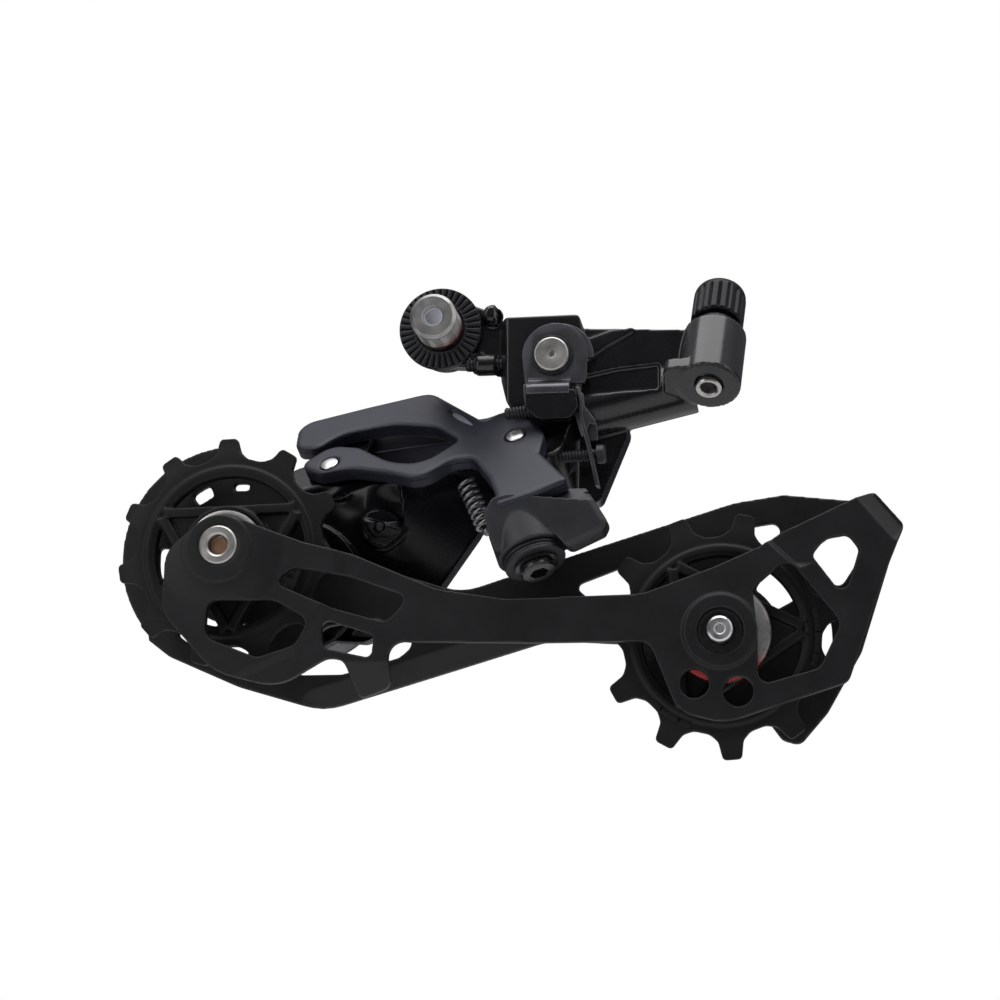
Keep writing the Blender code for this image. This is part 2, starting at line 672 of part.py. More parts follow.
def near_cage_plate():
    """Wheel-side plate: a long beam with a raised dome at the guide pulley and windows around both ends."""
    place = upright()
    near, far = -NEAR_PLATE_Y, -NEAR_PLATE_Y - PLATE_THICKNESS
    loops = [near_plate_outline(), *near_plate_windows()]
    plate = prism("cage_plate_near", loops, far, near, place)
    dome = upright(*GUIDE)
    join(plate, cylinder("near_dome", 10.6, far, near + 2.6, dome, 32, top_radius=7.4))
    join(plate, cylinder("near_boss", 7.2, far, near + 0.6, upright(*TENSION), 28))
    for label, centre, depth in (("guide", GUIDE, near - 0.2), ("tension", TENSION, near - 0.4)):
        at = upright(*centre)
        cut(plate, cylinder("near_bore_" + label, PULLEY_BOLT_RADIUS + GAP, 10, 30, at, 20))
        cut(plate, cylinder("near_recess_" + label, 4.6, depth, 30, at, 24))
    return paint(plate, "satin_black")


def far_plate_outline():
    guide_disc = arc((GUIDE[0] - 1.6, GUIDE[1] + 0.2), 23.6, 93, 222, 18)
    rest = rounded([
        (-54.8, -71.9, 8.0), (-41.3, -78.0, 16.0), (-23.3, -82.6, 14.0),
        (2.0, -74.9, 16.0), (24.0, -68.4, 14.0),
        (42.0, -69.6, 5.0), (46.6, -82.0, 6.0), (60.0, -86.4, 8.0), (74.0, -90.4, 2.5), (79.6, -84.0, 6.0),
        (86.6, -72.0, 3.0), (94.0, -50.0, 2.0), (87.6, -41.6, 2.0), (72.0, -39.8, 6.0), (62.0, -41.2, 20.0),
        (33.0, -50.0, 20.0), (6.0, -58.4, 12.0), (-8.0, -54.0, 8.0),
        (-20.8, -49.8, 4.0), (-24.3, -44.5, 3.0), (-28.3, -39.0, 6.0), (-40.0, -29.6, 3.0),
    ])
    return guide_disc + rest


def ring_window(centre, inner, outer, start, end):
    """A rounded opening between two radii and two angles."""
    return arc(centre, outer, start, end, 5) + arc(centre, inner, end, start, 4)


def far_plate_windows():
    strut = [(29.2, -57.6, 1.0), (39.6, -53.8, 1.5), (43.4, -60.0, 2.0), (32.0, -60.0, 1.5)]
    upper = [(64.6, -46.4, 2.0), (72.6, -45.2, 2.0), (69.0, -51.0, 2.0), (62.0, -50.4, 2.0)]
    corner = [
        (77.3, -52.2, 1.5), (80.5, -48.4, 1.5), (84.3, -47.9, 1.5), (86.7, -51.2, 1.5), (85.5, -55.0, 1.5),
        (82.7, -59.2, 1.5), (80.1, -57.2, 1.5),
    ]
    above_rim = [
        (-29.8, -72.5, 2.0), (-22.3, -65.0, 3.0), (-11.3, -63.5, 3.0), (-3.3, -68.5, 2.0),
        (-6.8, -71.6, 2.0), (-18.8, -74.9, 2.0), (-27.8, -74.9, 1.5),
    ]
    around_guide = [
        ring_window(GUIDE, *window) for window in (
            (13.6, 16.0, 80, 97), (13.2, 17.2, 111, 130), (14.0, 17.2, 172, 195), (14.2, 20.6, 231, 279),
        )
    ]
    around_tension = [ring_window(TENSION, 12.0, 20.0, 28, 56), ring_window(TENSION, 17.5, 21.8, -14, 12)]
    straight = [rounded(shape) for shape in (strut, upper, corner, above_rim)]
    return [*straight, *around_guide, *around_tension]


def far_cage_plate():
    """Outboard plate: a disc behind the guide pulley and a long strut to the tension pulley."""
    near, far = -FAR_PLATE_Y, -FAR_PLATE_Y - PLATE_THICKNESS
    plate = prism("cage_plate_far", [far_plate_outline(), *far_plate_windows()], far, near, upright())
    for label, centre, radius in (
        ("guide", GUIDE, PULLEY_BOLT_RADIUS + GAP),
        ("tension", TENSION, PULLEY_BOLT_RADIUS + GAP),
        ("pivot", CAGE_PIVOT, 4.1 + GAP),
    ):
        cut(plate, cylinder("far_bore_" + label, radius, 0, 12, upright(*centre), 24))
    return paint(plate, "satin_black")


def pulley_bolts():
    """Guide bolt with its head in the dome, and tension bolt screwed through the near plate from outside."""
    radius = PULLEY_BOLT_RADIUS
    near = -NEAR_PLATE_Y
    guide = [
        (0, near + 2.9), (3.9, near + 2.9), (4.2, near + 2.6), (4.2, near + 0.1), (radius, near + 0.1),
        (radius, 5.0), (0, 5.0),
    ]
    bolt = turned("guide_pulley_bolt", guide, upright(*GUIDE), 28)
    cut(bolt, cylinder("guide_bolt_socket", 2.0, near + 0.8, near + 6, upright(*GUIDE), segments=6))
    paint(bolt, "steel")
    tension = [
        (0, near + 0.6), (radius - 0.3, near + 0.6), (radius, near + 0.3), (radius, 4.8), (4.4, 4.8),
        (4.4, 2.6), (0, 2.6),
    ]
    bolt = turned("tension_pulley_bolt", tension, upright(*TENSION), 28)
    cut(bolt, cylinder("tension_bolt_socket", 2.0, 1.0, 4.0, upright(*TENSION), segments=6))
    paint(bolt, "steel")


# ---------------------------------------------------------------- pulleys

def toothed_outline(turn):
    """Teeth with rounded tips and round valleys, as one closed outline, starting at the turn angle."""
    tip = math.degrees(TOOTH_TIP_WIDTH / 2 / TIP_RADIUS)
    base = math.degrees(TOOTH_BASE_WIDTH / 2 / ROOT_RADIUS)
    half = 180 / TEETH
    valley = ROOT_RADIUS - 0.5
    points = []
    for i in range(TEETH):
        middle = turn + 360 * i / TEETH
        for angle, radius in (
            (-base, ROOT_RADIUS + 0.7), (-tip * 1.05, TIP_RADIUS - 1.0), (-tip * 0.7, TIP_RADIUS),
            (tip * 0.7, TIP_RADIUS), (tip * 1.05, TIP_RADIUS - 1.0), (base, ROOT_RADIUS + 0.7),
            (base + (half - base) * 0.55, valley), (half + (half - base) * 0.45, valley),
        ):
            points.append(polar((0, 0), radius, middle + angle))
    return points


def segment_windows(count, chord, radius, turn):
    """Openings between the rim and straight bars that pass the hub at the chord's distance."""
    half = math.degrees(math.acos(chord / radius))
    windows = []
    for i in range(count):
        middle = turn + 360 * i / count
        edge = [(x, y, 0) for x, y in arc((0, 0), radius, middle - half, middle + half, 10)]
        for end in (0, -1):
            edge[end] = (*edge[end][:2], 1.0)
        windows.append(rounded(edge))
    return windows


def pulley(name, centre, turn, window_turn):
    """Toothed wheel, its bush and the two dust caps that stay with the cage. Angles are in degrees."""
    place = upright(*centre)
    middle = -PULLEY_MID_Y
    low, high = middle - HUB_LENGTH / 2, middle + HUB_LENGTH / 2
    seat = BEARING_RADIUS + GAP
    bolt = PULLEY_BOLT_RADIUS + GAP
    windows = segment_windows(3, 9.6, 15.6, window_turn)
    loops = [toothed_outline(turn), *windows, circle((0, 0), seat, 28)]
    wheel = prism(name, loops, middle - TOOTH_THICKNESS / 2, middle + TOOTH_THICKNESS / 2, place)
    join(wheel, tube(name + "_hub", 9.2, seat, low, high, place))
    paint(wheel, "black_plastic")
    paint(tube(name + "_bearing", BEARING_RADIUS, bolt, low, high, place, 28), "steel")
    for start, side, label in ((high, 1, "near"), (low, -1, "far")):
        ends = (start + side * GAP, start + side * (GAP + CAP_THICKNESS))
        paint(tube(f"{name}_cap_{label}", CAP_RADIUS, bolt, min(ends), max(ends), place, 32), "steel")


# ---------------------------------------------------------------- assembly

BODIES = {
    "b_knuckle_axis": (None, (0, 0, 0), (
        "b_knuckle", "screw_block", "bracket_plate", "bracket_strip", "bracket_pin", "cable_ferrule",
        "link_pin_b_inner", "link_pin_b_outer",
    )),
    "adjuster_axis": ("b_knuckle_axis", tuple(ADJUSTER_EXIT), ("barrel_adjuster",)),
    "b_tension_axis": ("b_knuckle_axis", tuple(B_SCREW[0]), ("b_tension_screw",)),
    "limit_upper_axis": ("b_knuckle_axis", tuple(LIMIT_SCREWS["upper"][0]), ("limit_screw_upper",)),
    "limit_lower_axis": ("b_knuckle_axis", tuple(LIMIT_SCREWS["lower"][0]), ("limit_screw_lower",)),
    "inner_link_axis": ("b_knuckle_axis", tuple(B_PIN), (
        "inner_link", "cable_arm", "cable_clamp_plate", "cable_anchor_bolt", "return_spring",
    )),
    "outer_link_axis": ("b_knuckle_axis", tuple(link_point(*OUTER_OFFSET)), ("outer_link",)),
    "p_knuckle_axis": ("inner_link_axis", tuple(P_PIN), (
        "p_knuckle", "knuckle_cover", "cage_stop_pin", "cage_spring", "link_pin_p_inner", "link_pin_p_outer",
    )),
    "cage_axis": ("p_knuckle_axis", (CAGE_PIVOT[0], 0, CAGE_PIVOT[1]), (
        "cage_axle", "cage_plate_near", "cage_plate_far", "guide_pulley_bolt", "tension_pulley_bolt",
        "guide_pulley_cap_near", "guide_pulley_cap_far", "tension_pulley_cap_near", "tension_pulley_cap_far",
    )),
    "guide_axis": ("cage_axis", (GUIDE[0], 0, GUIDE[1]), ("guide_pulley", "guide_pulley_bearing")),
    "tension_axis": ("cage_axis", (TENSION[0], 0, TENSION[1]), ("tension_pulley", "tension_pulley_bearing")),
}


def hang(child, parent):
    """Parents child without moving it."""
    bpy.context.view_layer.update()
    child.parent = parent
    child.matrix_parent_inverse = parent.matrix_world.inverted()


def assemble():
    """One empty on each joint's axis, and every moving piece under the empty of its body."""
    empties = {}
    for name, (above, place, pieces) in BODIES.items():
        empty = bpy.data.objects.new(name, None)
        empty.location = (Vector(place) + BOLT_AXIS) * MM
        Scene.parts.objects.link(empty)
        if above:
            hang(empty, empties[above])
        empties[name] = empty
        for piece in pieces:
            hang(bpy.data.objects[piece], empty)


def main():
    start_scene()
    material("steel", (0.62, 0.61, 0.60), 0.32, 1.0)
    material("spring_steel", (0.30, 0.30, 0.31), 0.38, 1.0)
    material("black_steel", (0.035, 0.036, 0.040), 0.45, 0.6)
    material("dark_plate", (0.10, 0.10, 0.11), 0.40, 0.9)
    material("gloss_black", (0.010, 0.010, 0.012), 0.22, 0.2)
    material("black_alloy", (0.016, 0.017, 0.020), 0.40, 0.3)
    material("satin_black", (0.012, 0.012, 0.013), 0.42, 0.2)
    material("blue_grey", (0.030, 0.033, 0.045), 0.46, 0.5)
    material("black_plastic", (0.011, 0.011, 0.012), 0.50, 0.0)

    mounting_bolt()
    serrated_ring()
    b_knuckle()
    adjusting_screws()
    screw_block()
    bracket_plate()
    bracket_strip()
    bracket_pin()
    barrel_adjuster()
    cable_ferrule()
    inner_link()
    outer_link()
    link_pins()
    cable_arm()
    cable_clamp()
    return_spring()
    p_knuckle()
    knuckle_cover()
    stop_pin()
    cage_axle()
    cage_spring()
    near_cage_plate()
    far_cage_plate()
    pulley_bolts()
    pulley("guide_pulley", GUIDE, 92, 91)
    pulley("tension_pulley", TENSION, 77.5, 63)
    assemble()


main()
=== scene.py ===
"""Looks of the rear derailleur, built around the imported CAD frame.

The CAD frame fixes where everything is. Each visible CAD node gets a finer mesh in its place, and a
procedural material. Lengths below are in millimetres and are turned into metres where a mesh is made.
"""

import json
import math

import bmesh
import bpy
import numpy as np
from mathutils import Matrix, Vector


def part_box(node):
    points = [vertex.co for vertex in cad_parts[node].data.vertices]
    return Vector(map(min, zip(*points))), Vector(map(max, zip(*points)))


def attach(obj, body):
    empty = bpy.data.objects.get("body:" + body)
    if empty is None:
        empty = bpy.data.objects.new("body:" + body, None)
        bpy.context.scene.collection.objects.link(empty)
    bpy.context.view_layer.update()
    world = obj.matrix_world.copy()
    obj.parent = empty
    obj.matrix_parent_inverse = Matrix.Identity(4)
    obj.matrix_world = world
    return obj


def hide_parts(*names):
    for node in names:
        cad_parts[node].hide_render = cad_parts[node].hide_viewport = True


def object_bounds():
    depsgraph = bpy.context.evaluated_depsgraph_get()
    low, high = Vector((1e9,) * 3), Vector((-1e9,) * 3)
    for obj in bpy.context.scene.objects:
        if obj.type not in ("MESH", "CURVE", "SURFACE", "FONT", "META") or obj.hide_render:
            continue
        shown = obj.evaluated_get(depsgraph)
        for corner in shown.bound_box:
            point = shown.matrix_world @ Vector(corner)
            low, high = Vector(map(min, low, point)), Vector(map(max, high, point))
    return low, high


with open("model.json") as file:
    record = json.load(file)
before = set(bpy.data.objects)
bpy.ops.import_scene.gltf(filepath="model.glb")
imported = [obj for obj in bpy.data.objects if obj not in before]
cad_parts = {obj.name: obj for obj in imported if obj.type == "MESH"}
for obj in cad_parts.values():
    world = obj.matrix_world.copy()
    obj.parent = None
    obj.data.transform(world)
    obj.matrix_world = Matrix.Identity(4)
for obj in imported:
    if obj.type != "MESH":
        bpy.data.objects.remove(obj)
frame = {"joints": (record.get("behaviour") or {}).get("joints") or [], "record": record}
CAD_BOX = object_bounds()

MM = 0.001
NEARLY_ZERO = 1e-6
RECORD = frame["record"]
JOINTS = {joint["name"]: joint for joint in frame["joints"]}
BODY_OF = {node: body for body, nodes in RECORD["behaviour"]["bodies"].items() for node in nodes}
SLOT_OF = {part["node"]: part["material_slot"] for part in RECORD["subparts"]}


def axis_point(joint):
    return Vector(JOINTS[joint]["pos_m"]) / MM


def axis_line(joint):
    return Vector(JOINTS[joint]["axis"]).normalized()


def box_of(node):
    low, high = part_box(node)
    return low / MM, high / MM


# Joints of the CAD frame
GUIDE = axis_point("guide_spin")
TENSION = axis_point("tension_spin")
PIVOT = axis_point("cage_swing")
B_PIN = axis_point("shift")
P_PIN = axis_point("p_knuckle_level")
OUTER_PIN = axis_point("outer_link_swing")
PIN_LINE = axis_line("shift")
EXIT = axis_point("adjuster_turn")

# Levels measured towards the wheel, along -Y
NEAR_LEVEL = -box_of("cage_plate_near")[0].y
FAR_LEVEL = -box_of("cage_plate_far")[0].y
PULLEY_MIDDLE = -(box_of("guide_pulley")[0].y + box_of("guide_pulley")[1].y) / 2

TEETH = 11
PITCH_RADIUS = 12.7 / 2 / math.sin(math.pi / TEETH)


# ---------------------------------------------------------------- frames and outlines

def frame_of(origin, x_axis, z_axis):
    """A matrix in millimetres whose columns are x, y, z and the origin."""
    z_axis = z_axis.normalized()
    x_axis = (x_axis - z_axis * x_axis.dot(z_axis)).normalized()
    rows = Matrix((x_axis, z_axis.cross(x_axis), z_axis)).transposed().to_4x4()
    return Matrix.Translation(origin) @ rows


def upright(x=0.0, z=0.0):
    """Local x is X, local y is Z, and local z points to the wheel, along -Y."""
    return frame_of(Vector((x, 0, z)), Vector((1, 0, 0)), Vector((0, -1, 0)))


BOLT_X = axis_point("b_pivot").x
BOLT = upright(BOLT_X)
AT_GUIDE = upright(GUIDE.x, GUIDE.z)
AT_TENSION = upright(TENSION.x, TENSION.z)
AT_PIVOT = upright(PIVOT.x, PIVOT.z)
LINK = frame_of(B_PIN, P_PIN - B_PIN, PIN_LINE)
LINK_LENGTH = (P_PIN - B_PIN).length
OUTER_AT = LINK.inverted() @ OUTER_PIN
ADJUSTER = frame_of(EXIT, Vector((1, 0, 0)), axis_line("adjuster_turn"))
BRACKET_PIN = [(low + high) / 2 for low, high in zip(*box_of("bracket_pin"))]
AT_BRACKET = upright(BRACKET_PIN[0], BRACKET_PIN[2])
CLAMP_LINE = next(Vector(mount["axis"]) for mount in RECORD["mounts"] if mount["name"] == "cable_clamp_face")


def on_joint(joint):
    """A screw's frame, with local z along its joint."""
    return frame_of(axis_point(joint), Vector((0, 1, 0)), axis_line(joint))


def from_bolt(x, y, z):
    """A point given from the mounting bolt's axis."""
    return Vector((x + BOLT_X, y, z))


CLAMP = frame_of(from_bolt(21.6, -16.2, -51.6), Vector((1, 0, 0)), CLAMP_LINE)


def polar(centre, radius, degrees):
    angle = math.radians(degrees)
    return (centre[0] + radius * math.cos(angle), centre[1] + radius * math.sin(angle))


def arc(centre, radius, start, end, steps):
    return [polar(centre, radius, start + (end - start) * i / steps) for i in range(steps + 1)]


def circle(centre, radius, steps=64):
    return arc(centre, radius, 0, 360 - 360 / steps, steps - 1)


def rounded(corners, step=9.0):
    """A closed outline through corners (x, y, radius), each rounded by an arc of that radius."""
    points = []
    for i, (x, y, radius) in enumerate(corners):
        here = Vector((x, y))
        before = Vector(corners[i - 1][:2]) - here
        after = Vector(corners[(i + 1) % len(corners)][:2]) - here
        turn = math.pi - before.angle(after)
        reach = radius * math.tan(turn / 2)
        if reach < NEARLY_ZERO:
            points.append((x, y))
            continue
        reach = min(reach, before.length * 0.49, after.length * 0.49)
        start = here + before.normalized() * reach
        end = here + after.normalized() * reach
        outward = here - (start + end) / 2
        centre = here - outward.normalized() * math.hypot(reach, reach / math.tan(turn / 2))
        first = start - centre
        side = 1 if first.cross(end - centre) > 0 else -1
        steps = max(2, round(math.degrees(turn) / step))
        for k in range(steps + 1):
            points.append(tuple(centre + Matrix.Rotation(side * turn * k / steps, 2) @ first))
    return points


def sector(inner, outer, start, end):
    """A ring sector with rounded corners, as an outline."""
    steps = max(3, round(abs(end - start) / 6))
    far = arc((0, 0), outer, start, end, steps)
    close = arc((0, 0), inner, end, start, steps)
    shape = [(x, y, 0.0) for x, y in far + close]
    for corner in (0, steps, steps + 1, 2 * steps + 1):
        shape[corner] = (*shape[corner][:2], 1.2)
    return rounded(shape)


# ---------------------------------------------------------------- solids

def new_object(name, mesh, place):
    obj = bpy.data.objects.new(name, mesh)
    scaled = place.copy()
    scaled.translation *= MM
    obj.matrix_world = scaled
    bpy.context.scene.collection.objects.link(obj)
    return obj


def mesh_from(name, work):
    mesh = bpy.data.meshes.new(name)
    bmesh.ops.recalc_face_normals(work, faces=work.faces)
    work.to_mesh(mesh)
    work.free()
    return mesh


def baked(obj):
    """Applies an object's modifiers and removes the solids that they used."""
    bpy.context.view_layer.update()
    graph = bpy.context.evaluated_depsgraph_get()
    mesh = bpy.data.meshes.new_from_object(obj.evaluated_get(graph))
    tools = [modifier.object for modifier in obj.modifiers if modifier.type == "BOOLEAN"]
    place = obj.matrix_world.copy()
    name = obj.name
    for old in [obj, *tools]:
        bpy.data.objects.remove(old, do_unlink=True)
    made = bpy.data.objects.new(name, mesh)
    made.matrix_world = place
    bpy.context.scene.collection.objects.link(made)
    return made


def prism(name, loops, low, high, place, bevel=0.0):
    """Outlines in local x and y, filled and extruded from low to high along local z."""
    curve = bpy.data.curves.new(name, "CURVE")
    curve.dimensions = "2D"
    curve.fill_mode = "BOTH"
    curve.extrude = (high - low) / 2 * MM
    for loop in loops:
        spline = curve.splines.new("POLY")
        spline.points.add(len(loop) - 1)
        for point, (x, y) in zip(spline.points, loop):
            point.co = (x * MM, y * MM, 0, 1)
        spline.use_cyclic_u = True
    shape = new_object(name + "_curve", curve, place)
    bpy.context.view_layer.update()
    graph = bpy.context.evaluated_depsgraph_get()
    filled = bpy.data.meshes.new_from_object(shape.evaluated_get(graph))
    work = bmesh.new()
    work.from_mesh(filled)
    bmesh.ops.remove_doubles(work, verts=work.verts, dist=1e-7)
    bmesh.ops.dissolve_limit(work, angle_limit=0.01, verts=work.verts, edges=work.edges)
    bpy.data.objects.remove(shape, do_unlink=True)
    bpy.data.meshes.remove(filled)
    mesh = mesh_from(name, work)
    mesh.transform(Matrix.Translation((0, 0, (low + high) / 2 * MM)))
    obj = new_object(name, mesh, place)
    if bevel:
        soften_edges(obj, bevel)
    return obj


def slab(name, corners, low, high, place=None, bevel=0.0):
    """A prism with one rounded outline, in the mounting bolt's frame unless another is given."""
    return prism(name, [rounded(corners)], low, high, place or BOLT, bevel)


def soften_edges(obj, width):
    modifier = obj.modifiers.new("edge", "BEVEL")
    modifier.width = width * MM
    modifier.segments = 3
    modifier.limit_method = "ANGLE"
    modifier.angle_limit = math.radians(40)
    modifier.use_clamp_overlap = True
    return obj


def turned(name, profile, place, steps=96):
    """A profile of (radius, height) points spun about local z."""
    work = bmesh.new()
    rings = []
    for radius, height in profile:
        if radius < NEARLY_ZERO:
            rings.append([work.verts.new((0, 0, height * MM))] * steps)
            continue
        ring = [polar((0, 0), radius * MM, 360 * k / steps) for k in range(steps)]
        rings.append([work.verts.new((x, y, height * MM)) for x, y in ring])
    closed = profile[0][0] > NEARLY_ZERO
    pairs = list(zip(rings, rings[1:] + rings[:1])) if closed else list(zip(rings, rings[1:]))
    for first, second in pairs:
        for k in range(steps):
            corners = [first[k], first[(k + 1) % steps], second[(k + 1) % steps], second[k]]
            corners = list(dict.fromkeys(corners))
            if len(corners) > 2:
                work.faces.new(corners)
    return new_object(name, mesh_from(name, work), place)


def cylinder(name, radius, low, high, place, steps=64):
    return turned(name, [(0, high), (radius, high), (radius, low), (0, low)], place, steps)


def tube(name, outer, inner, low, high, place, steps=96):
    return turned(name, [(outer, high), (outer, low), (inner, low), (inner, high)], place, steps)


def ring_of(work, steps, point_at):
    """One ring of vertices. point_at gives the radius and the height at a step and its angle."""
    ring = []
    for k in range(steps):
        degrees = 360 * k / steps
        radius, height = point_at(k, degrees)
        x, y = polar((0, 0), radius * MM, degrees)
        ring.append(work.verts.new((x, y, height * MM)))
    return ring


def bridge(work, pairs, steps):
    """Faces between pairs of rings."""
    for first, second in pairs:
        for k in range(steps):
            work.faces.new((first[k], first[(k + 1) % steps], second[(k + 1) % steps], second[k]))


def wrapped(name, radius_at, heights, place, steps):
    """A body of revolution whose radius also depends on the angle, as threads and flutes do."""
    work = bmesh.new()
    rings = []
    for height in heights:
        rings.append(ring_of(work, steps, lambda k, degrees: (radius_at(degrees, height), height)))
    bridge(work, zip(rings, rings[1:]), steps)
    work.faces.new(rings[0])
    work.faces.new(rings[-1])
    return new_object(name, mesh_from(name, work), place)


def wire(name, points, radius, place):
    """A round wire through local points."""
    curve = bpy.data.curves.new(name, "CURVE")
    curve.dimensions = "3D"
    curve.bevel_depth = radius * MM
    curve.bevel_resolution = 5
    curve.use_fill_caps = True
    spline = curve.splines.new("POLY")
    spline.points.add(len(points) - 1)
    for point, at in zip(spline.points, points):
        point.co = (*(Vector(at) * MM), 1)
    made = baked(new_object(name + "_curve", curve, place))
    made.name = name
    return made


def coil(radius, length, turns, steps=40):
    points = []
    for i in range(int(turns * steps) + 1):
        x, y = polar((0, 0), radius, 360 * i / steps)
        points.append((x, y, length * i / (turns * steps)))
    return points


def with_tools(obj, operation, tools):
    for tool in tools:
        boolean = obj.modifiers.new(tool.name, "BOOLEAN")
        boolean.operation = operation
        boolean.solver = "EXACT"
        boolean.object = tool
    return obj


def join(obj, *tools):
    return with_tools(obj, "UNION", tools)


def cut(obj, *tools):
    return with_tools(obj, "DIFFERENCE", tools)


def melt(obj, voxel=0.3, rounds=4):
    """Gives a solid one skin with soft edges, as a casting, a moulding or a coated plate has."""
    skin = obj.modifiers.new("skin", "REMESH")
    skin.mode = "VOXEL"
    skin.voxel_size = voxel * MM
    soften = obj.modifiers.new("soften", "SMOOTH")
    soften.factor = 0.5
    soften.iterations = rounds
    return baked(obj)


def merge(obj, *others):
    """Puts other meshes into obj's mesh as they are."""
    work = bmesh.new()
    work.from_mesh(obj.data)
    to_local = obj.matrix_world.inverted()
    for other in others:
        mesh = other.data.copy()
        mesh.transform(to_local @ other.matrix_world)
        work.from_mesh(mesh)
        bpy.data.meshes.remove(mesh)
        bpy.data.objects.remove(other, do_unlink=True)
    work.to_mesh(obj.data)
    work.free()
    return obj


def reshape(obj, change):
    """Moves the mesh's points by a function of their local places, all in millimetres."""
    points = np.empty(len(obj.data.vertices) * 3)
    obj.data.vertices.foreach_get("co", points)
    points = change(points.reshape(-1, 3) / MM) * MM
    obj.data.vertices.foreach_set("co", points.ravel())
    obj.data.update()
    return obj


def ramp(values, start, end):
    """A smooth step from 0 at start to 1 at end."""
    t = np.clip((values - start) / (end - start), 0, 1)
    return t * t * (3 - 2 * t)


def edge_distance(points, outline, closed=True):
    """How far each point is from an outline, in the plane of local x and y."""
    ends = np.array(outline)
    starts = ends[:-1] if not closed else ends
    stops = ends[1:] if not closed else np.roll(ends, -1, axis=0)
    nearest = np.full(len(points), 1e9)
    for a, b in zip(starts, stops):
        along = b - a
        size = max(along @ along, 1e-9)
        t = np.clip((points[:, :2] - a) @ along / size, 0, 1)
        nearest = np.minimum(nearest, np.linalg.norm(points[:, :2] - a - t[:, None] * along, axis=1))
    return nearest


def crown(points, outline, width, drop, top):
    """Lowers the points of the top face near its outline, so that the face curves down to its edges."""
    share = np.clip(1 - edge_distance(points, outline) / width, 0, 1) ** 2
    points[:, 2] -= drop * share * (points[:, 2] > top - 1.0)
    return points


# ---------------------------------------------------------------- materials

class Nodes:
    """Short names for adding and linking shader nodes."""

    def __init__(self, name):
        self.material = bpy.data.materials.new(name)
        self.material.use_nodes = True
        self.tree = self.material.node_tree
        self.shader = self.tree.nodes["Principled BSDF"]
        self.place = self.add("ShaderNodeTexCoord").outputs["Object"]

    def add(self, kind, **settings):
        node = self.tree.nodes.new(kind)
        for key, value in settings.items():
            setattr(node, key, value)
        return node

    def link(self, source, target):
        self.tree.links.new(source, target)

    def noise(self, per_mm, detail=3.0, roughness=0.5, stretch=None):
        node = self.add("ShaderNodeTexNoise")
        node.inputs["Scale"].default_value = per_mm / MM
        node.inputs["Detail"].default_value = detail
        node.inputs["Roughness"].default_value = roughness
        source = self.place
        if stretch:
            mapping = self.add("ShaderNodeMapping")
            mapping.inputs["Scale"].default_value = stretch
            self.link(source, mapping.inputs["Vector"])
            source = mapping.outputs["Vector"]
        self.link(source, node.inputs["Vector"])
        return node.outputs["Fac"]

    def spread(self, source, low, high, at=(0.3, 0.7)):
        node = self.add("ShaderNodeMapRange")
        node.inputs["From Min"].default_value = at[0]
        node.inputs["From Max"].default_value = at[1]
        node.inputs["To Min"].default_value = low
        node.inputs["To Max"].default_value = high
        self.link(source, node.inputs["Value"])
        return node.outputs["Result"]

    def give(self, value, socket):
        """Links an output to a socket, or sets the socket to a number or a colour."""
        if isinstance(value, bpy.types.NodeSocket):
            self.link(value, socket)
        else:
            socket.default_value = (*value, 1.0) if isinstance(value, tuple) else value

    def mix(self, factor, first, second):
        node = self.add("ShaderNodeMix", data_type="RGBA")
        self.link(factor, node.inputs[0])
        self.give(first, node.inputs[6])
        self.give(second, node.inputs[7])
        return node.outputs[2]

    def maths(self, operation, first, second):
        node = self.add("ShaderNodeMath", operation=operation)
        self.give(first, node.inputs[0])
        self.give(second, node.inputs[1])
        return node.outputs[0]

    def bump(self, height, strength, depth_mm, below=None):
        node = self.add("ShaderNodeBump")
        node.inputs["Strength"].default_value = strength
        node.inputs["Distance"].default_value = depth_mm * MM
        self.link(height, node.inputs["Height"])
        if below:
            self.link(below, node.inputs["Normal"])
        return node.outputs["Normal"]

    def edges(self):
        """Near 1 on sharp convex edges."""
        geometry = self.add("ShaderNodeNewGeometry")
        return self.spread(geometry.outputs["Pointiness"], 0.0, 1.0, (0.52, 0.60))

    def axes(self):
        """The local x, y and z of the shaded point, in metres."""
        split = self.add("ShaderNodeSeparateXYZ")
        self.link(self.place, split.inputs[0])
        return split.outputs

    def rough(self, broad, fine, low, high):
        """A roughness between low and high that follows the broad noise, with fine noise on it."""
        return self.maths("ADD", self.spread(broad, low, high), self.spread(fine, -0.03, 0.03))

    def finish(self, colour, roughness, normal, metallic):
        self.link(colour, self.shader.inputs["Base Color"])
        self.link(roughness, self.shader.inputs["Roughness"])
        self.link(normal, self.shader.inputs["Normal"])
        self.shader.inputs["Metallic"].default_value = metallic
        return self.material


def tint(colour, factor):
    return tuple(min(1.0, c * factor) for c in colour)


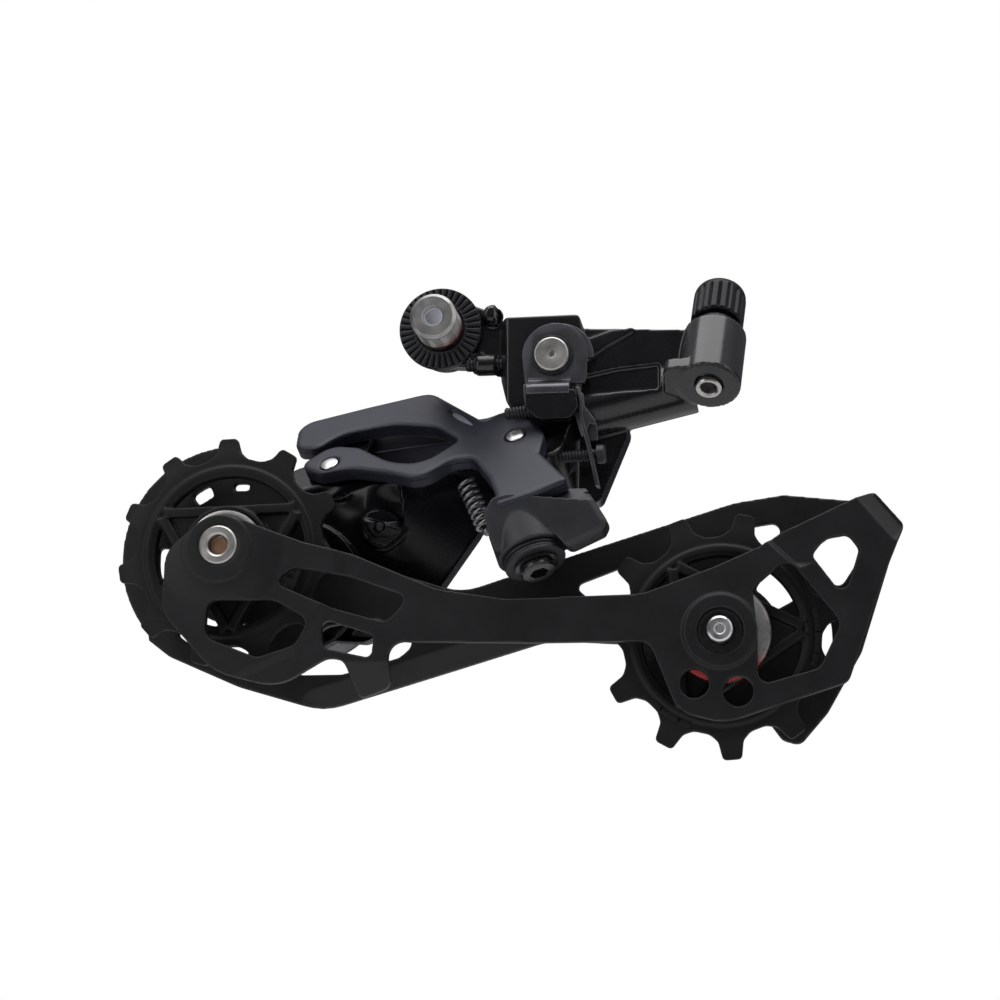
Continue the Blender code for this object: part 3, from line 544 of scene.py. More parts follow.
def coated(name, colour, roughness, grain=9.0, bump=0.25, metallic=0.0, wear=0.25, coat=0.0, shine=0.5):
    """Paint, plastic or black coating: fine grain, cloudy sheen, and edges rubbed a little lighter."""
    nodes = Nodes(name)
    fine = nodes.noise(grain, 2.0)
    broad = nodes.noise(0.09, 4.0, 0.6)
    scuffs = nodes.noise(1.2, 6.0, 0.7, (1.0, 1.0, 4.0))
    base = nodes.mix(nodes.spread(broad, 0.0, 1.0), tint(colour, 0.82), tint(colour, 1.25))
    rubbed = nodes.maths("MULTIPLY", nodes.edges(), nodes.spread(scuffs, 0.2, 1.0))
    rubbed = nodes.maths("MULTIPLY", rubbed, wear)
    light = tuple(min(1.0, c * 2.5 + 0.05) for c in colour)
    rough = nodes.rough(broad, fine, roughness - 0.05, roughness + 0.05)
    rough = nodes.maths("ADD", rough, nodes.spread(scuffs, 0.0, 0.05, (0.55, 0.75)))
    normal = nodes.bump(broad, 0.25, 0.12, nodes.bump(fine, bump, 0.03))
    nodes.shader.inputs["Specular IOR Level"].default_value = shine
    nodes.shader.inputs["Coat Weight"].default_value = coat
    nodes.shader.inputs["Coat Roughness"].default_value = 0.12
    return nodes.finish(nodes.mix(rubbed, base, light), rough, normal, metallic)


def machined(name, colour, roughness, rings_per_mm=7.0, groove=0.4, stain=None):
    """Turned metal: fine rings round local z, streaks, a little tarnish, and a stain if one is given."""
    nodes = Nodes(name)
    wave = nodes.add("ShaderNodeTexWave", wave_type="RINGS", rings_direction="Z")
    wave.inputs["Scale"].default_value = rings_per_mm / MM / 20
    wave.inputs["Distortion"].default_value = 1.5
    wave.inputs["Detail"].default_value = 3.0
    wave.inputs["Detail Scale"].default_value = 2.0
    nodes.link(nodes.place, wave.inputs["Vector"])
    broad = nodes.noise(0.35, 5.0, 0.6)
    fine = nodes.noise(14.0, 2.0)
    base = nodes.mix(nodes.spread(broad, 0.0, 1.0), tint(colour, 0.86), tint(colour, 1.08))
    if stain:
        base = stain(nodes, base)
    rough = nodes.rough(broad, fine, roughness - 0.06, roughness + 0.08)
    normal = nodes.bump(fine, 0.15, 0.01, nodes.bump(wave.outputs["Fac"], groove, 0.015))
    return nodes.finish(base, rough, normal, 1.0)


LOOKS = {
    "steel": machined("turned_steel", (0.60, 0.59, 0.57), 0.30),
    "spring_steel": machined("drawn_wire", (0.26, 0.26, 0.27), 0.34, 4.0, 0.2),
    "black_steel": coated("black_oxide", (0.022, 0.023, 0.025), 0.42, 8.0, 0.3, 0.3, 0.35),
    "dark_plate": coated("dark_plating", (0.11, 0.11, 0.12), 0.36, 6.0, 0.2, 0.9, 0.5),
    "gloss_black": coated("gloss_enamel", (0.005, 0.005, 0.006), 0.26, 5.0, 0.08, 0.0, 0.15, 0.35),
    "black_alloy": coated("cast_black", (0.0035, 0.0038, 0.0050), 0.25, 5.0, 0.10, 0.0, 0.12, shine=0.34),
    "satin_black": coated("satin_coat", (0.0085, 0.0088, 0.0095), 0.46, 10.0, 0.22, 0.0, 0.30, shine=0.36),
    "blue_grey": coated("link_paint", (0.021, 0.023, 0.034), 0.42, 9.0, 0.2, 0.25, 0.20),
    "black_plastic": coated("moulded_nylon", (0.0070, 0.0073, 0.0077), 0.50, 7.0, 0.35, shine=0.28),
}


def thread_lock(nodes, steel):
    """A rub of red thread lock on the lower rear side of the thread's foot."""
    x, y, height = nodes.axes()
    side = nodes.spread(nodes.maths("SUBTRACT", x, y), 0.0, 1.0, (0.0035, 0.0060))
    low = nodes.spread(height, 1.0, 0.0, (0.0030, 0.0050))
    patchy = nodes.spread(nodes.noise(0.8), 0.3, 0.8)
    patch = nodes.maths("MULTIPLY", nodes.maths("MULTIPLY", side, low), patchy)
    return nodes.mix(patch, steel, (0.30, 0.03, 0.03))


def bronze_below(nodes, steel):
    """The lower side of the tension pulley's shield is tinted bronze."""
    below = nodes.spread(nodes.axes()[1], 1.0, 0.0, (-0.0062, -0.0030))
    return nodes.mix(below, steel, (0.26, 0.04, 0.04))


SEAL = coated("bronze_seal", (0.20, 0.05, 0.04), 0.38, 6.0, 0.2, 0.6, 0.2)
SHIELD = machined("bearing_shield", (0.66, 0.65, 0.63), 0.34, 5.0, 0.3)
# Matte near-black for the insides of bores: painted shade.
PAINTED_SHADE = coated("painted_shade_in_holes", (0.004, 0.004, 0.004), 0.7, 6.0, 0.2)
BOLT_STEEL = machined("bolt_steel", (0.44, 0.43, 0.42), 0.36, 3.0, 0.25, thread_lock)
PIN_FACE = machined("pin_face", (0.54, 0.53, 0.51), 0.38, 2.2, 0.5)
PIN_BRIGHT = machined("pin_bright", (0.76, 0.76, 0.76), 0.32, 3.0, 0.15)
# Pale blue-grey for a cup inside the mounting bolt's bore: painted light.
BORE_PAINTED_LIGHT = coated("bore_painted_light", (0.62, 0.62, 0.68), 0.35, 6.0, 0.1)
KNOB_NYLON = coated("knob_nylon", (0.006, 0.006, 0.008), 0.28, 6.0, 0.08, 0.0, 0.12, shine=0.2)
# Pale grey-blue for a sliver in the inner link's dimple: a painted highlight.
LINK_PAINTED_HIGHLIGHT = coated("painted_highlight_facet", (0.30, 0.31, 0.36), 0.30, 8.0, 0.1, 0.3, 0.2)
# A lighter black for the cable arm: painted light on its face.
BLOCK_PAINTED_LIGHT = coated("block_painted_light", (0.029, 0.030, 0.034), 0.44, 9.0, 0.2, 0.2, 0.25)
# A mid grey for the facet beside the inner link, lighter than the casting's black: painted light.
WEDGE_PAINTED_LIGHT = coated("wedge_painted_light", (0.055, 0.056, 0.062), 0.40, 8.0, 0.2, 0.4, 0.3)
COPPERY = machined("worn_socket", (0.38, 0.22, 0.14), 0.45, 2.0, 0.2)
SEALED_SHIELD = machined("sealed_shield", (0.70, 0.68, 0.65), 0.30, 5.0, 0.3, bronze_below)


def extra(obj, node, look=None, sharp=40.0):
    """Finishes a detail piece: its material and shading, and the body of a CAD node. Unless a look is given,
    the material is the one of that node's slot.
    """
    obj.data.materials.clear()
    obj.data.materials.append(look or LOOKS[SLOT_OF[node]])
    obj.data.shade_smooth()
    obj.data.set_sharp_from_angle(angle=math.radians(sharp))
    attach(obj, BODY_OF[node])


def stand_in(obj, node, look=None, sharp=40.0):
    """Finishes a piece that takes a CAD node's place."""
    extra(obj, node, look, sharp)
    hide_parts(node)


def cast(solid, node, voxel, rounds, shape=None, look=None):
    """Melts a solid into one skin, reshapes it if asked to, and puts it in a CAD node's place."""
    skin = melt(solid, voxel, rounds)
    if shape:
        reshape(skin, shape)
    stand_in(skin, node, look, 180)


# ---------------------------------------------------------------- hanger end

PIN_RADIUS = 1.9
LUG_LEVEL = -20.0


def thread(core, crest, pitch, start, end):
    """A radius function for a thread between two heights, which runs out at both."""
    def radius_at(degrees, height):
        phase = (height / pitch - degrees / 360) % 1.0
        shape = min(1.0, (1 - abs(2 * phase - 1)) * 1.6)
        fade = min(1.0, max(0.0, min(height - start, end - height) / (0.8 * pitch)))
        return crest - (crest - core) * fade * (1 - shape)
    return radius_at


def steps_between(low, high, step):
    count = max(2, round((high - low) / step))
    return [low + (high - low) * i / count for i in range(count + 1)]


def raised(profile, level, side=1):
    """A profile of (radius, rise) points with its heights measured from a level."""
    return [(radius, level + side * rise) for radius, rise in profile]


def mounting_bolt():
    """Hollow threaded end towards the wheel, and a socket head on the other side."""
    tip = -box_of("mounting_bolt")[0].y
    chamfer = 0.7
    radius_at = thread(4.5, 4.95, 1.0, 1.6, tip - chamfer)

    def shaft(degrees, height):
        return radius_at(degrees, height) - max(0.0, height - (tip - chamfer))
    bolt = wrapped("bolt_shaft_fine", shaft, steps_between(-1.5, tip, 0.1), BOLT, 96)
    bore = [(0, 1), (2.4, 1), (2.4, -0.1), (2.05, -0.5), (2.0, -4.6), (0, -5.6)]
    bolt = baked(cut(bolt, turned("bolt_hollow", raised(bore, tip), BOLT, 48)))
    stand_in(bolt, "mounting_bolt", BOLT_STEEL)
    head = [
        (0, -1.0), (5.3, -1.0), (5.3, -6.7), (6.9, -6.7), (7.3, -7.0), (7.3, -10.2), (7.0, -10.8),
        (6.4, -11.2), (4.2, -11.2), (3.9, -10.9), (0, -10.9),
    ]
    # A pale cup inside the bore: painted light.
    painted_light_cup = [(2.02, -0.9), (2.02, -2.4), (0, -2.6), (0, -2.3), (1.7, -2.1), (1.7, -0.9)]
    extra(turned("bolt_bore_painted_light", raised(painted_light_cup, tip), BOLT, 48), "mounting_bolt", BORE_PAINTED_LIGHT)
    socket = cylinder("bolt_socket", 3.0, -13.0, -7.6, BOLT, 6)
    extra(baked(cut(turned("bolt_head_fine", head, BOLT), socket)), "mounting_bolt", LOOKS["black_steel"])


def serrated_ring():
    """The ring's face bites into the hanger with radial teeth around a flat land."""
    low, high = box_of("serrated_ring")
    outer = (high.x - low.x) / 2 + 0.3
    base = -(high.y - low.y)
    teeth, per_tooth, depth = 36, 8, 0.6
    profile = [
        (5.35, base, 0), (5.35, -0.1, 0), (5.8, 0.0, 0.2), (6.3, 0.0, 1), (outer - 0.5, 0.0, 1),
        (outer - 0.12, -0.1, 0.4), (outer, -0.35, 0), (outer, base, 0),
    ]
    count = teeth * per_tooth
    work = bmesh.new()
    rings = []
    for radius, height, share in profile:
        def tooth(k, degrees):
            wave = max(0.0, abs(2 * (k % per_tooth) / per_tooth - 1) * 1.7 - 0.7)
            return radius, height - depth * share * wave
        rings.append(ring_of(work, count, tooth))
    bridge(work, zip(rings, rings[1:] + rings[:1]), count)
    ring = new_object("serrated_ring_fine", mesh_from("serrated_ring_fine", work), BOLT)
    stand_in(ring, "serrated_ring", sharp=25)


def lug_bores(name, centres):
    for number, (x, y) in enumerate(centres):
        at = LINK @ Matrix.Translation((x, y, 0))
        yield cylinder(f"{name}_{number}", PIN_RADIUS + 0.25, LUG_LEVEL - 2, 2, at)


def link_slot(name, centre, start):
    """Room for the outer link to swing about one of its pins, on from the start angle in degrees."""
    half, reach, sweep = 6.1, 34.0, 62
    end = start + sweep
    first = polar(polar(centre, half, start - 90), reach, start)
    last = polar(polar(centre, half, end + 90), reach, end)
    tip = polar(centre, reach, start + sweep / 2)
    outline = [first, tip, last] + arc(centre, half, end + 90, start + 270, 12)
    return prism(name, [outline], -14.3, -5.7, LINK)


def b_knuckle():
    """The fixed casting: hanger ring, centre block, cable arm, lower barrel and the lug for the links."""
    web = arc((0, 0), 7.6, 60, 262, 40) + [
        (11.4, -9.0), (13.2, -10.3), (16.0, -14.0), (16.0, 0.9), (12.8, 1.2), (9.4, 4.4),
    ]
    body = prism("b_knuckle_fine", [web], -6.4, -2.0, BOLT)
    join(body, slab("b_block", [
        (13.0, 0.8, 1.5), (30.4, 0.9, 1.2), (31.0, -3.0, 2.0), (28.6, -17.6, 2.0), (15.2, -19.0, 2.0),
        (13.2, -12.0, 2.0),
    ], -9.0, 3.6))
    join(body, slab("b_arm", [
        (28.0, -1.4, 0), (56.0, -2.8, 0.6), (60.0, -8.0, 1.0), (55.0, -14.5, 1.0), (40.0, -12.8, 4.0),
        (28.0, -15.0, 0),
    ], -6.5, 1.0))
    join(body, cylinder("b_boss", 6.6, 0.0, 14.6, ADJUSTER))
    join(body, slab("b_heel", [
        (-9.4, -4.5, 2.0), (1.0, -6.0, 0), (1.0, 6.0, 0), (-9.4, 5.0, 2.0),
    ], 0.2, 3.0, ADJUSTER))
    barrel = frame_of(from_bolt(30.0, 3.5, -18.8), Vector((0, 0, 1)), Vector((19.5, 0.5, 4.6)))
    join(body, cylinder("b_barrel", 6.2, 0.0, 24.0, barrel))
    join(body, slab("b_lower", [
        (22.0, -14.0, 0), (41.0, -21.5, 3.0), (33.8, -38.6, 2.0), (24.0, -38.0, 3.0),
        (17.0, -27.0, 3.0),
    ], -9.9, -3.1))
    cut(body, cylinder("b_link_room", 12.0, -3.7, 1.2, LINK))
    join(body, slab("b_lug", [
        (4.5, -4.5, 3.5), (4.6, -19.8, 5.0), (-5.0, -21.5, 4.0), (-11.0, -12.0, 4.0), (-9.0, 4.0, 4.0),
        (4.5, 4.5, 4.0),
    ], LUG_LEVEL, -3.5, LINK))
    nub = [(0, 1.6), (1.2, 1.6), (1.8, 1.2), (2.1, 0.4), (2.1, -2.5), (0, -2.5)]
    join(body, turned("b_nub", nub, upright(BOLT_X + 11.4, 2.5), 40))
    screw_at = on_joint("b_screw_turn")
    join(body, cylinder("b_screw_boss", 2.3, 2.4, 12.0, screw_at))
    cut(body, cylinder("b_screw_bore", 1.5, 0.0, 12.0, screw_at))
    join(body, slab("b_foot", [
        (5.6, -6.0, 0.5), (8.8, -5.4, 0.8), (10.4, -9.0, 0.8), (7.2, -10.4, 0.8),
    ], -2.4, -0.4))
    join(body, slab("b_ridge", [
        (31.0, -4.4, 0.8), (37.0, -2.4, 0.8), (44.0, -1.4, 0.5), (36.0, -5.6, 1.2), (31.0, -9.0, 0.5),
    ], 0.6, 1.3))
    cut(body, slab("b_shelf_cut", [
        (30.0, -12.2, 0.5), (38.0, -10.6, 4.0), (47.0, -9.8, 0.6), (47.0, -15.6, 1.0),
        (40.0, -15.8, 3.0), (30.0, -16.4, 0.5),
    ], 0.3, 3.0))
    cut(body, cylinder("b_bore", 5.65, -10.0, 4.0, BOLT))
    cut(body, cylinder("b_pin_bore", 4.0, -4.6, 6.0, AT_BRACKET))
    cut(body, cylinder("b_cable_bore", 2.9, -3.0, 20.0, ADJUSTER))
    cut(body, link_slot("b_slot", OUTER_AT, 0))
    cut(body, *lug_bores("b_bore", ((0, 0), OUTER_AT[:2])))

    def shape(points):
        x, level = points[:, 0], points[:, 2]
        raised = (level > -2.0) * (x > 12.0) * (x < 20.0)
        points[:, 2] = np.where(raised, -2.0 + (level + 2.0) * ramp(x, 12.0, 15.2), level)
        return points
    cast(body, "b_knuckle", 0.32, 4, shape)
    # A matte near-black tube inside the cable bore: painted shade.
    extra(tube("cable_bore_painted_shade", 2.85, 2.6, 0.9, 14.2, ADJUSTER), "b_knuckle", PAINTED_SHADE)


def screw(name, place, length, radius, head=None):
    """A small threaded screw from its tip at the local origin, with a cross-slotted head if it has one."""
    pitch = 0.7
    radius_at = thread(radius - 0.24, radius, pitch, 0.3, length + 1.0)

    def shaft(degrees, height):
        return radius_at(degrees, height) - max(0.0, 0.4 - height)
    made = wrapped(name, shaft, steps_between(0.0, length, 0.08), place, 40)
    if head:
        wide, tall = head
        top = place @ Matrix.Translation((0, 0, length))
        profile = [(0, tall), (wide - 0.4, tall), (wide, tall - 0.4), (wide, 0), (0, 0)]
        cap = turned(name + "_head", profile, top, 48)
        bar = [(-1.5, -0.28), (1.5, -0.28), (1.5, 0.28), (-1.5, 0.28)]
        for turn in (20, 110):
            slot = top @ Matrix.Rotation(math.radians(turn), 4, "Z")
            cut(cap, prism("slot", [bar], tall - 0.8, tall + 1, slot))
        merge(made, baked(cap))
    return made


def adjusting_screws():
    head = (2.0, 1.8)
    for joint, node, radius, cap in (
        ("b_screw_turn", "b_tension_screw", 1.35, None),
        ("limit_a_turn", "limit_screw_upper", 1.3, head),
        ("limit_b_turn", "limit_screw_lower", 1.3, head),
    ):
        low, high = box_of(node)
        length = high.x - low.x - (cap[1] if cap else 0)
        stand_in(screw(node + "_fine", on_joint(joint), length, radius, cap), node)


def screw_block():
    low, high = box_of("screw_block")
    outline = rounded([
        (19.3, -15.0, 0.8), (29.9, -16.6, 0.8), (30.4, -20.2, 1.2), (28.6, -22.6, 1.2), (22.0, -22.6, 1.2),
        (19.2, -20.0, 1.2),
    ])
    block = prism("screw_block_fine", [outline], -high.y, -low.y, BOLT)
    cast(block, "screw_block", 0.2, 3)


def bracket_plate():
    """The pressed plate on the large pin: an arch with a turned rim, folded forward at its foot."""
    arch = arc((25.3, -8.2), 6.9, 0, 180, 40) + [(18.9, -13.6), (19.2, -14.4), (31.4, -14.4), (31.9, -13.4)]
    plate = prism("bracket_plate_fine", [arch, circle((24.7, -8.3), 4.0)], 3.95, 5.0, BOLT, 0.22)
    rim = arc((26.3, -8.4), 7.1, -4, 120, 30) + arc((26.0, -8.4), 6.0, 120, -4, 30)
    plate = merge(baked(plate), baked(prism("bracket_rim", [rim], 3.1, 4.5, BOLT, 0.15)))
    side = frame_of(from_bolt(28.6, 0, 0), Vector((0, -1, 0)), Vector((-1, 0, 0)))
    fold = rounded([
        (3.9, -13.6, 0), (3.9, -14.9, 0.5), (7.2, -16.1, 0.7), (7.2, -17.4, 0.3), (8.5, -17.4, 0.4),
        (8.5, -15.3, 1.4), (5.1, -13.8, 0.8), (5.1, -13.0, 0),
    ])
    merge(plate, baked(prism("bracket_fold", [fold], 0.0, 9.0, side, 0.15)))
    stand_in(plate, "bracket_plate", sharp=30)
    tab = [
        (28.9, -15.2, 0.4), (31.4, -17.0, 0.8), (31.5, -19.4, 0.8), (33.8, -22.6, 0.8), (33.6, -23.8, 0.4),
        (32.4, -23.2, 0.6), (31.6, -26.0, 0.4), (30.8, -26.2, 0.3), (29.3, -20.9, 0.8), (30.3, -18.6, 0.8),
    ]
    foot = [(31.2, -22.6, 0.3), (33.9, -22.9, 0.4), (34.2, -26.6, 0.4), (31.6, -26.6, 0.3)]
    hook = [(18.6, -14.4, 0.4), (20.0, -14.2, 0.4), (20.0, -18.6, 0.4), (18.8, -18.2, 0.4)]
    for name, corners, low, high, bevel in (
        ("bracket_tab", tab, 4.6, 5.4, 0.25), ("bracket_foot", foot, 3.2, 4.2, 0.2),
        ("bracket_hook", hook, 4.2, 5.4, 0.2),
    ):
        extra(baked(slab(name, corners, low, high, BOLT, bevel)), "bracket_plate", sharp=30)


def bracket_strip():
    line = [
        (29.6, -15.4), (30.4, -18.6), (30.2, -21.4), (31.0, -24.6), (31.8, -27.8), (32.6, -31.4),
        (33.6, -36.6),
    ]
    back = [(x + 0.95, z - 0.2) for x, z in reversed(line)]
    strip = baked(prism("bracket_strip_fine", [line + back], 3.1, 6.2, BOLT, 0.22))
    stand_in(strip, "bracket_strip", sharp=30)


def bracket_pin():
    """A bright pin with a turned face and a centre-drill mark, in a dark seat ring."""
    top = -box_of("bracket_pin")[0].y
    foot = -box_of("bracket_pin")[1].y
    face = [(0, -1.3), (0.28, -0.9), (0.8, -0.05), (1.0, 0), (3.3, 0), (3.55, -0.15), (3.7, -0.5)]
    profile = raised(face, top) + [(3.7, foot), (0, foot)]
    stand_in(turned("bracket_pin_fine", profile, AT_BRACKET), "bracket_pin", PIN_FACE, 20)
    ring = baked(soften_edges(tube("bracket_pin_ring", 4.25, 3.72, 4.9, 5.6, AT_BRACKET), 0.12))
    extra(ring, "bracket_pin", LOOKS["black_steel"])


# ---------------------------------------------------------------- cable adjuster

def barrel_adjuster():
    """The fluted knob: rounded top, ribbed barrel, a groove, and a smooth collar over the stem."""
    radius, low, high, flutes = 5.6, 17.8, 27.9, 17
    dome = 3.0

    def shape(degrees, height):
        groove = 0.5 * max(0.0, math.cos(math.radians(degrees * flutes))) ** 2
        fluted = ramp(height, low, low + 0.9) * (1 - ramp(height, high - dome, high - 1.6))
        flare = radius - 0.5 * (1 - ramp(height, low, low + 0.5))
        over = max(0.0, height - (high - dome)) / dome
        rounded_top = radius - 2.0 * (1 - math.sqrt(max(0.0, 1 - over ** 2.6)))
        return min(flare, rounded_top) - groove * fluted
    knob = wrapped("adjuster_knob_fine", shape, steps_between(low, high, 0.14), ADJUSTER, 204)
    knob = baked(cut(knob, cylinder("knob_bore", 1.3, low - 1, high + 2, ADJUSTER, 48)))
    collar = [(0, 1), (3.9, 1), (3.9, -0.5), (4.7, -0.8), (4.9, -1.2), (4.9, -3.4), (4.6, -3.9), (2.5, -4.1)]
    stem = turned("stem", raised(collar, low) + [(2.5, 1.0), (0, 1.0)], ADJUSTER)
    merge(knob, baked(cut(stem, cylinder("stem_bore", 1.3, 0, 22, ADJUSTER, 48))))
    stand_in(knob, "barrel_adjuster", KNOB_NYLON, 50)


def cable_ferrule():
    """The bright hollow end that the cable leaves by."""
    profile = [
        (2.55, 0.7), (2.75, 0.4), (2.75, -0.75), (2.55, -1.0), (2.05, -1.0), (1.75, -0.7), (1.6, -0.2),
        (1.6, 0.7),
    ]
    stand_in(turned("cable_ferrule_fine", profile, ADJUSTER), "cable_ferrule", sharp=25)
    # A matte near-black disc in the ferrule's mouth: painted shade.
    extra(cylinder("ferrule_shadow", 1.62, 0.2, 0.6, ADJUSTER), "cable_ferrule", PAINTED_SHADE)


# ---------------------------------------------------------------- parallelogram

INNER_LINK = rounded([
    (3.4, 14.0, 4.0), (8.6, 5.6, 4.0), (13.4, 5.4, 4.0), (19.6, 10.6, 5.0), (28.6, 6.0, 10.0),
    (36.6, 2.9, 10.0), (44.0, 3.2, 4.0), (49.8, -1.0, 2.5), (43.6, -7.2, 5.0), (36.5, -4.8, 6.0),
    (28.0, 2.4, 12.0), (20.0, 5.2, 8.0),
    (12.6, -1.6, 1.6), (19.5, -8.2, 8.0), (30.0, -11.8, 12.0), (42.0, -11.0, 8.0), (47.0, -6.6, 3.0),
    (52.4, -8.0, 3.0), (53.9, -17.8, 4.0), (38.0, -20.4, 20.0), (23.4, -22.3, 5.0), (7.6, -6.6, 2.0),
    (5.4, -10.6, 2.5), (-2.8, -5.2, 4.0), (-6.6, 1.0, 5.0), (-6.4, 7.4, 0.6), (-14.0, 18.3, 1.0),
    (-6.6, 21.9, 3.0), (0.4, 24.0, 1.0), (0.9, 20.0, 3.0),
])



def inner_link():
    """A pin end with a lower arm and a raised guard arm, crowned all over, with a thumb-nail dimple. A pale
    sliver in the dimple is a painted highlight.
    """
    link = prism("inner_link_fine", [INNER_LINK], -3.2, 0.0, LINK)
    for number, x in enumerate((0, LINK_LENGTH)):
        at = LINK @ Matrix.Translation((x, 0, 0))
        cut(link, cylinder(f"link_bore_{number}", PIN_RADIUS + 0.15, -22, 2, at))
        cut(link, cylinder(f"link_seat_{number}", 2.5, -0.3, 2, at))
    middle = np.array((13.6, -9.8))
    along = np.array((0.68, -0.73))
    across = np.array((0.73, 0.68))

    def shape(points):
        points = crown(points, INNER_LINK, 1.2, 0.35, 0.0)
        u = (points[:, :2] - middle) @ along
        v = (points[:, :2] - middle) @ across
        pit = np.clip(1 - (u / 5.4) ** 2 - (v / (0.95 + 0.08 * u)) ** 2, 0, 1)
        points[:, 2] -= 0.7 * np.sqrt(pit) * (points[:, 2] > -1.4)
        return points
    cast(link, "inner_link", 0.22, 2, shape)
    # A pale sliver in the dimple: a painted highlight.
    highlight_sliver = [tuple(middle + along * 4.6 * math.cos(t) + across * (0.62 + 0.2 * math.cos(t)) * math.sin(t))
            for t in np.linspace(0, 2 * math.pi, 40, endpoint=False)]
    extra(baked(prism("link_painted_highlight", [highlight_sliver], -1.0, -0.45, LINK, 0.1)), "inner_link", LINK_PAINTED_HIGHLIGHT)


def outer_link():
    """Outboard link: a broad ribbed cover whose ends sit in the slots of the two knuckles."""
    x, y = OUTER_AT.x, OUTER_AT.y
    far = x + LINK_LENGTH
    outline = (
        arc((x, y), 5.4, 90, 250, 24)
        + [(x + 2.0, y - 4.4), (x + 9.0, y - 1.8), (far - 9.0, y - 1.8), (far - 2.0, y - 4.4)]
        + arc((far, y), 5.4, -70, 90, 24)
    )
    link = prism("outer_link_fine", [outline], -14.0, -6.0, LINK)
    cut(link, *lug_bores("outer_bore", ((x, y), (far, y))))
    groove = [(x + 8, y + 0.4, 1.3), (far - 8, y + 0.4, 1.3), (far - 8, y + 3.2, 1.3), (x + 8, y + 3.2, 1.3)]
    cut(link, slab("groove", groove, -14.6, -13.2, LINK))

    def shape(points):
        share = np.clip(1 - edge_distance(points, outline) / 3.0, 0, 1) ** 2
        points[:, 2] += 1.2 * share * (points[:, 2] < -13.0)
        return points
    cast(link, "outer_link", 0.32, 4, shape)


def link_pins():
    """Rivets with slightly domed heads."""
    x, y = OUTER_AT.x, OUTER_AT.y
    for node, at_x, at_y, top in (
        ("link_pin_b_inner", 0, 0, 0.3), ("link_pin_b_outer", x, y, -4.0),
        ("link_pin_p_inner", LINK_LENGTH, 0, 0.3), ("link_pin_p_outer", LINK_LENGTH + x, y, -4.0),
    ):
        dome = [(0, top)] + [
            (PIN_RADIUS * math.sin(t), top - 0.4 * (1 - math.cos(t))) for t in (0.3, 0.6, 0.9, 1.2, 1.45)
        ]
        stem = [(PIN_RADIUS, top - 0.5), (PIN_RADIUS, LUG_LEVEL + 0.2), (1.6, LUG_LEVEL), (0, LUG_LEVEL)]
        place = LINK @ Matrix.Translation((at_x, at_y, 0))
        stand_in(turned(node + "_fine", dome + stem, place, 48), node, PIN_BRIGHT, 30)


def cable_arm():
    """The block under the inner link that carries the cable clamp. Its black is a little lighter than plain
    black steel: painted light, for the light on its face.
    """
    outline = rounded([
        (12.6, -45.0, 2.0), (14.2, -41.6, 2.0), (20.2, -40.2, 1.0), (28.9, -39.2, 0.8), (33.0, -39.6, 0.8),
        (37.4, -46.8, 1.6), (36.4, -48.8, 1.0), (29.4, -52.0, 1.5), (25.4, -47.4, 1.0), (18.0, -51.0, 2.0),
        (15.0, -53.0, 2.0),
    ])
    block = prism("cable_arm_fine", [outline], 13.1, 21.3, BOLT)
    join(block, cylinder("cable_arm_foot", 7.2, -1.0, 6.0, CLAMP))
    keep_out = [(-30.0, -12.0), (12.0, -12.0), (12.0, 21.6), (-30.0, 21.6)]
    cut(block, prism("cable_arm_seat", [keep_out], -3.5, 12.0, LINK))
    cut(block, cylinder("cable_arm_bore", 2.8, -14.0, 6.0, CLAMP))
    chamfer_line = [(33.0, -39.6), (37.4, -46.8), (36.4, -48.8), (29.4, -52.0)]

    def shape(points):
        nearest = edge_distance(points, chamfer_line, closed=False)
        points[:, 2] -= 0.7 * np.clip(1 - nearest / 1.2, 0, 1) * (points[:, 2] > 19.5)
        return points
    # The lighter black is painted light.
    cast(block, "cable_arm", 0.25, 3, shape, BLOCK_PAINTED_LIGHT)


def link_wedge():
    """The facet of the fixed casting that shows beside the inner link. It is a much lighter grey than the
    casting's black: painted light, for the light on this facet.
    """
    corners = [(26.9, -24.4, 0.5), (29.1, -31.4, 0.8), (26.6, -34.9, 0.8), (20.9, -29.3, 0.5)]
    extra(melt(slab("link_wedge", corners, -3.6, 1.6), 0.2, 4), "b_knuckle", WEDGE_PAINTED_LIGHT)



def cable_clamp():
    """The ridged washer and the glossy anchor bolt that hold the cable's end."""
    plate = tube("cable_clamp_plate_fine", 6.3, 2.8, -3.2, -1.2, CLAMP)
    for low in (-2.9, -2.1):
        cut(plate, tube(f"groove_{-low}", 7.0, 5.8, low, low + 0.35, CLAMP))
    cast(plate, "cable_clamp_plate", 0.14, 2)
    profile = [
        (0, 4.0), (2.5, 4.0), (2.5, -3.3), (4.5, -3.3), (4.5, -3.8), (3.4, -3.9), (3.6, -4.1),
        (3.6, -5.0), (3.3, -5.4), (2.3, -5.5), (0, -5.5),
    ]
    bolt = turned("cable_anchor_bolt_fine", profile, CLAMP)
    cut(bolt, cylinder("anchor_socket", 2.0, -9.0, -4.2, CLAMP, 6))
    stand_in(baked(bolt), "cable_anchor_bolt", LOOKS["gloss_black"], 30)


def return_spring():
    """The spring that pulls the links back, with a rounded end beside the cable block."""
    start, end = from_bolt(6.0, -3.4, -34.4), from_bolt(10.4, -3.4, -44.2)
    place = frame_of(start, Vector((0, 1, 0)), end - start)
    length = (end - start).length
    spring = wire("return_spring_fine", coil(1.7, length, 8), 0.45, place)
    ball = [(1.1 * math.sin(t), 1.1 * math.cos(t)) for t in np.linspace(0, math.pi, 13)]
    ball[0], ball[-1] = (0, 1.1), (0, -1.1)
    merge(spring, turned("spring_end", ball, place @ Matrix.Translation((0, 0, length + 1.0)), 32))
    stand_in(spring, "return_spring", sharp=60)


# ---------------------------------------------------------------- lower knuckle

STOP_X, STOP_Z = -12.0, -43.6


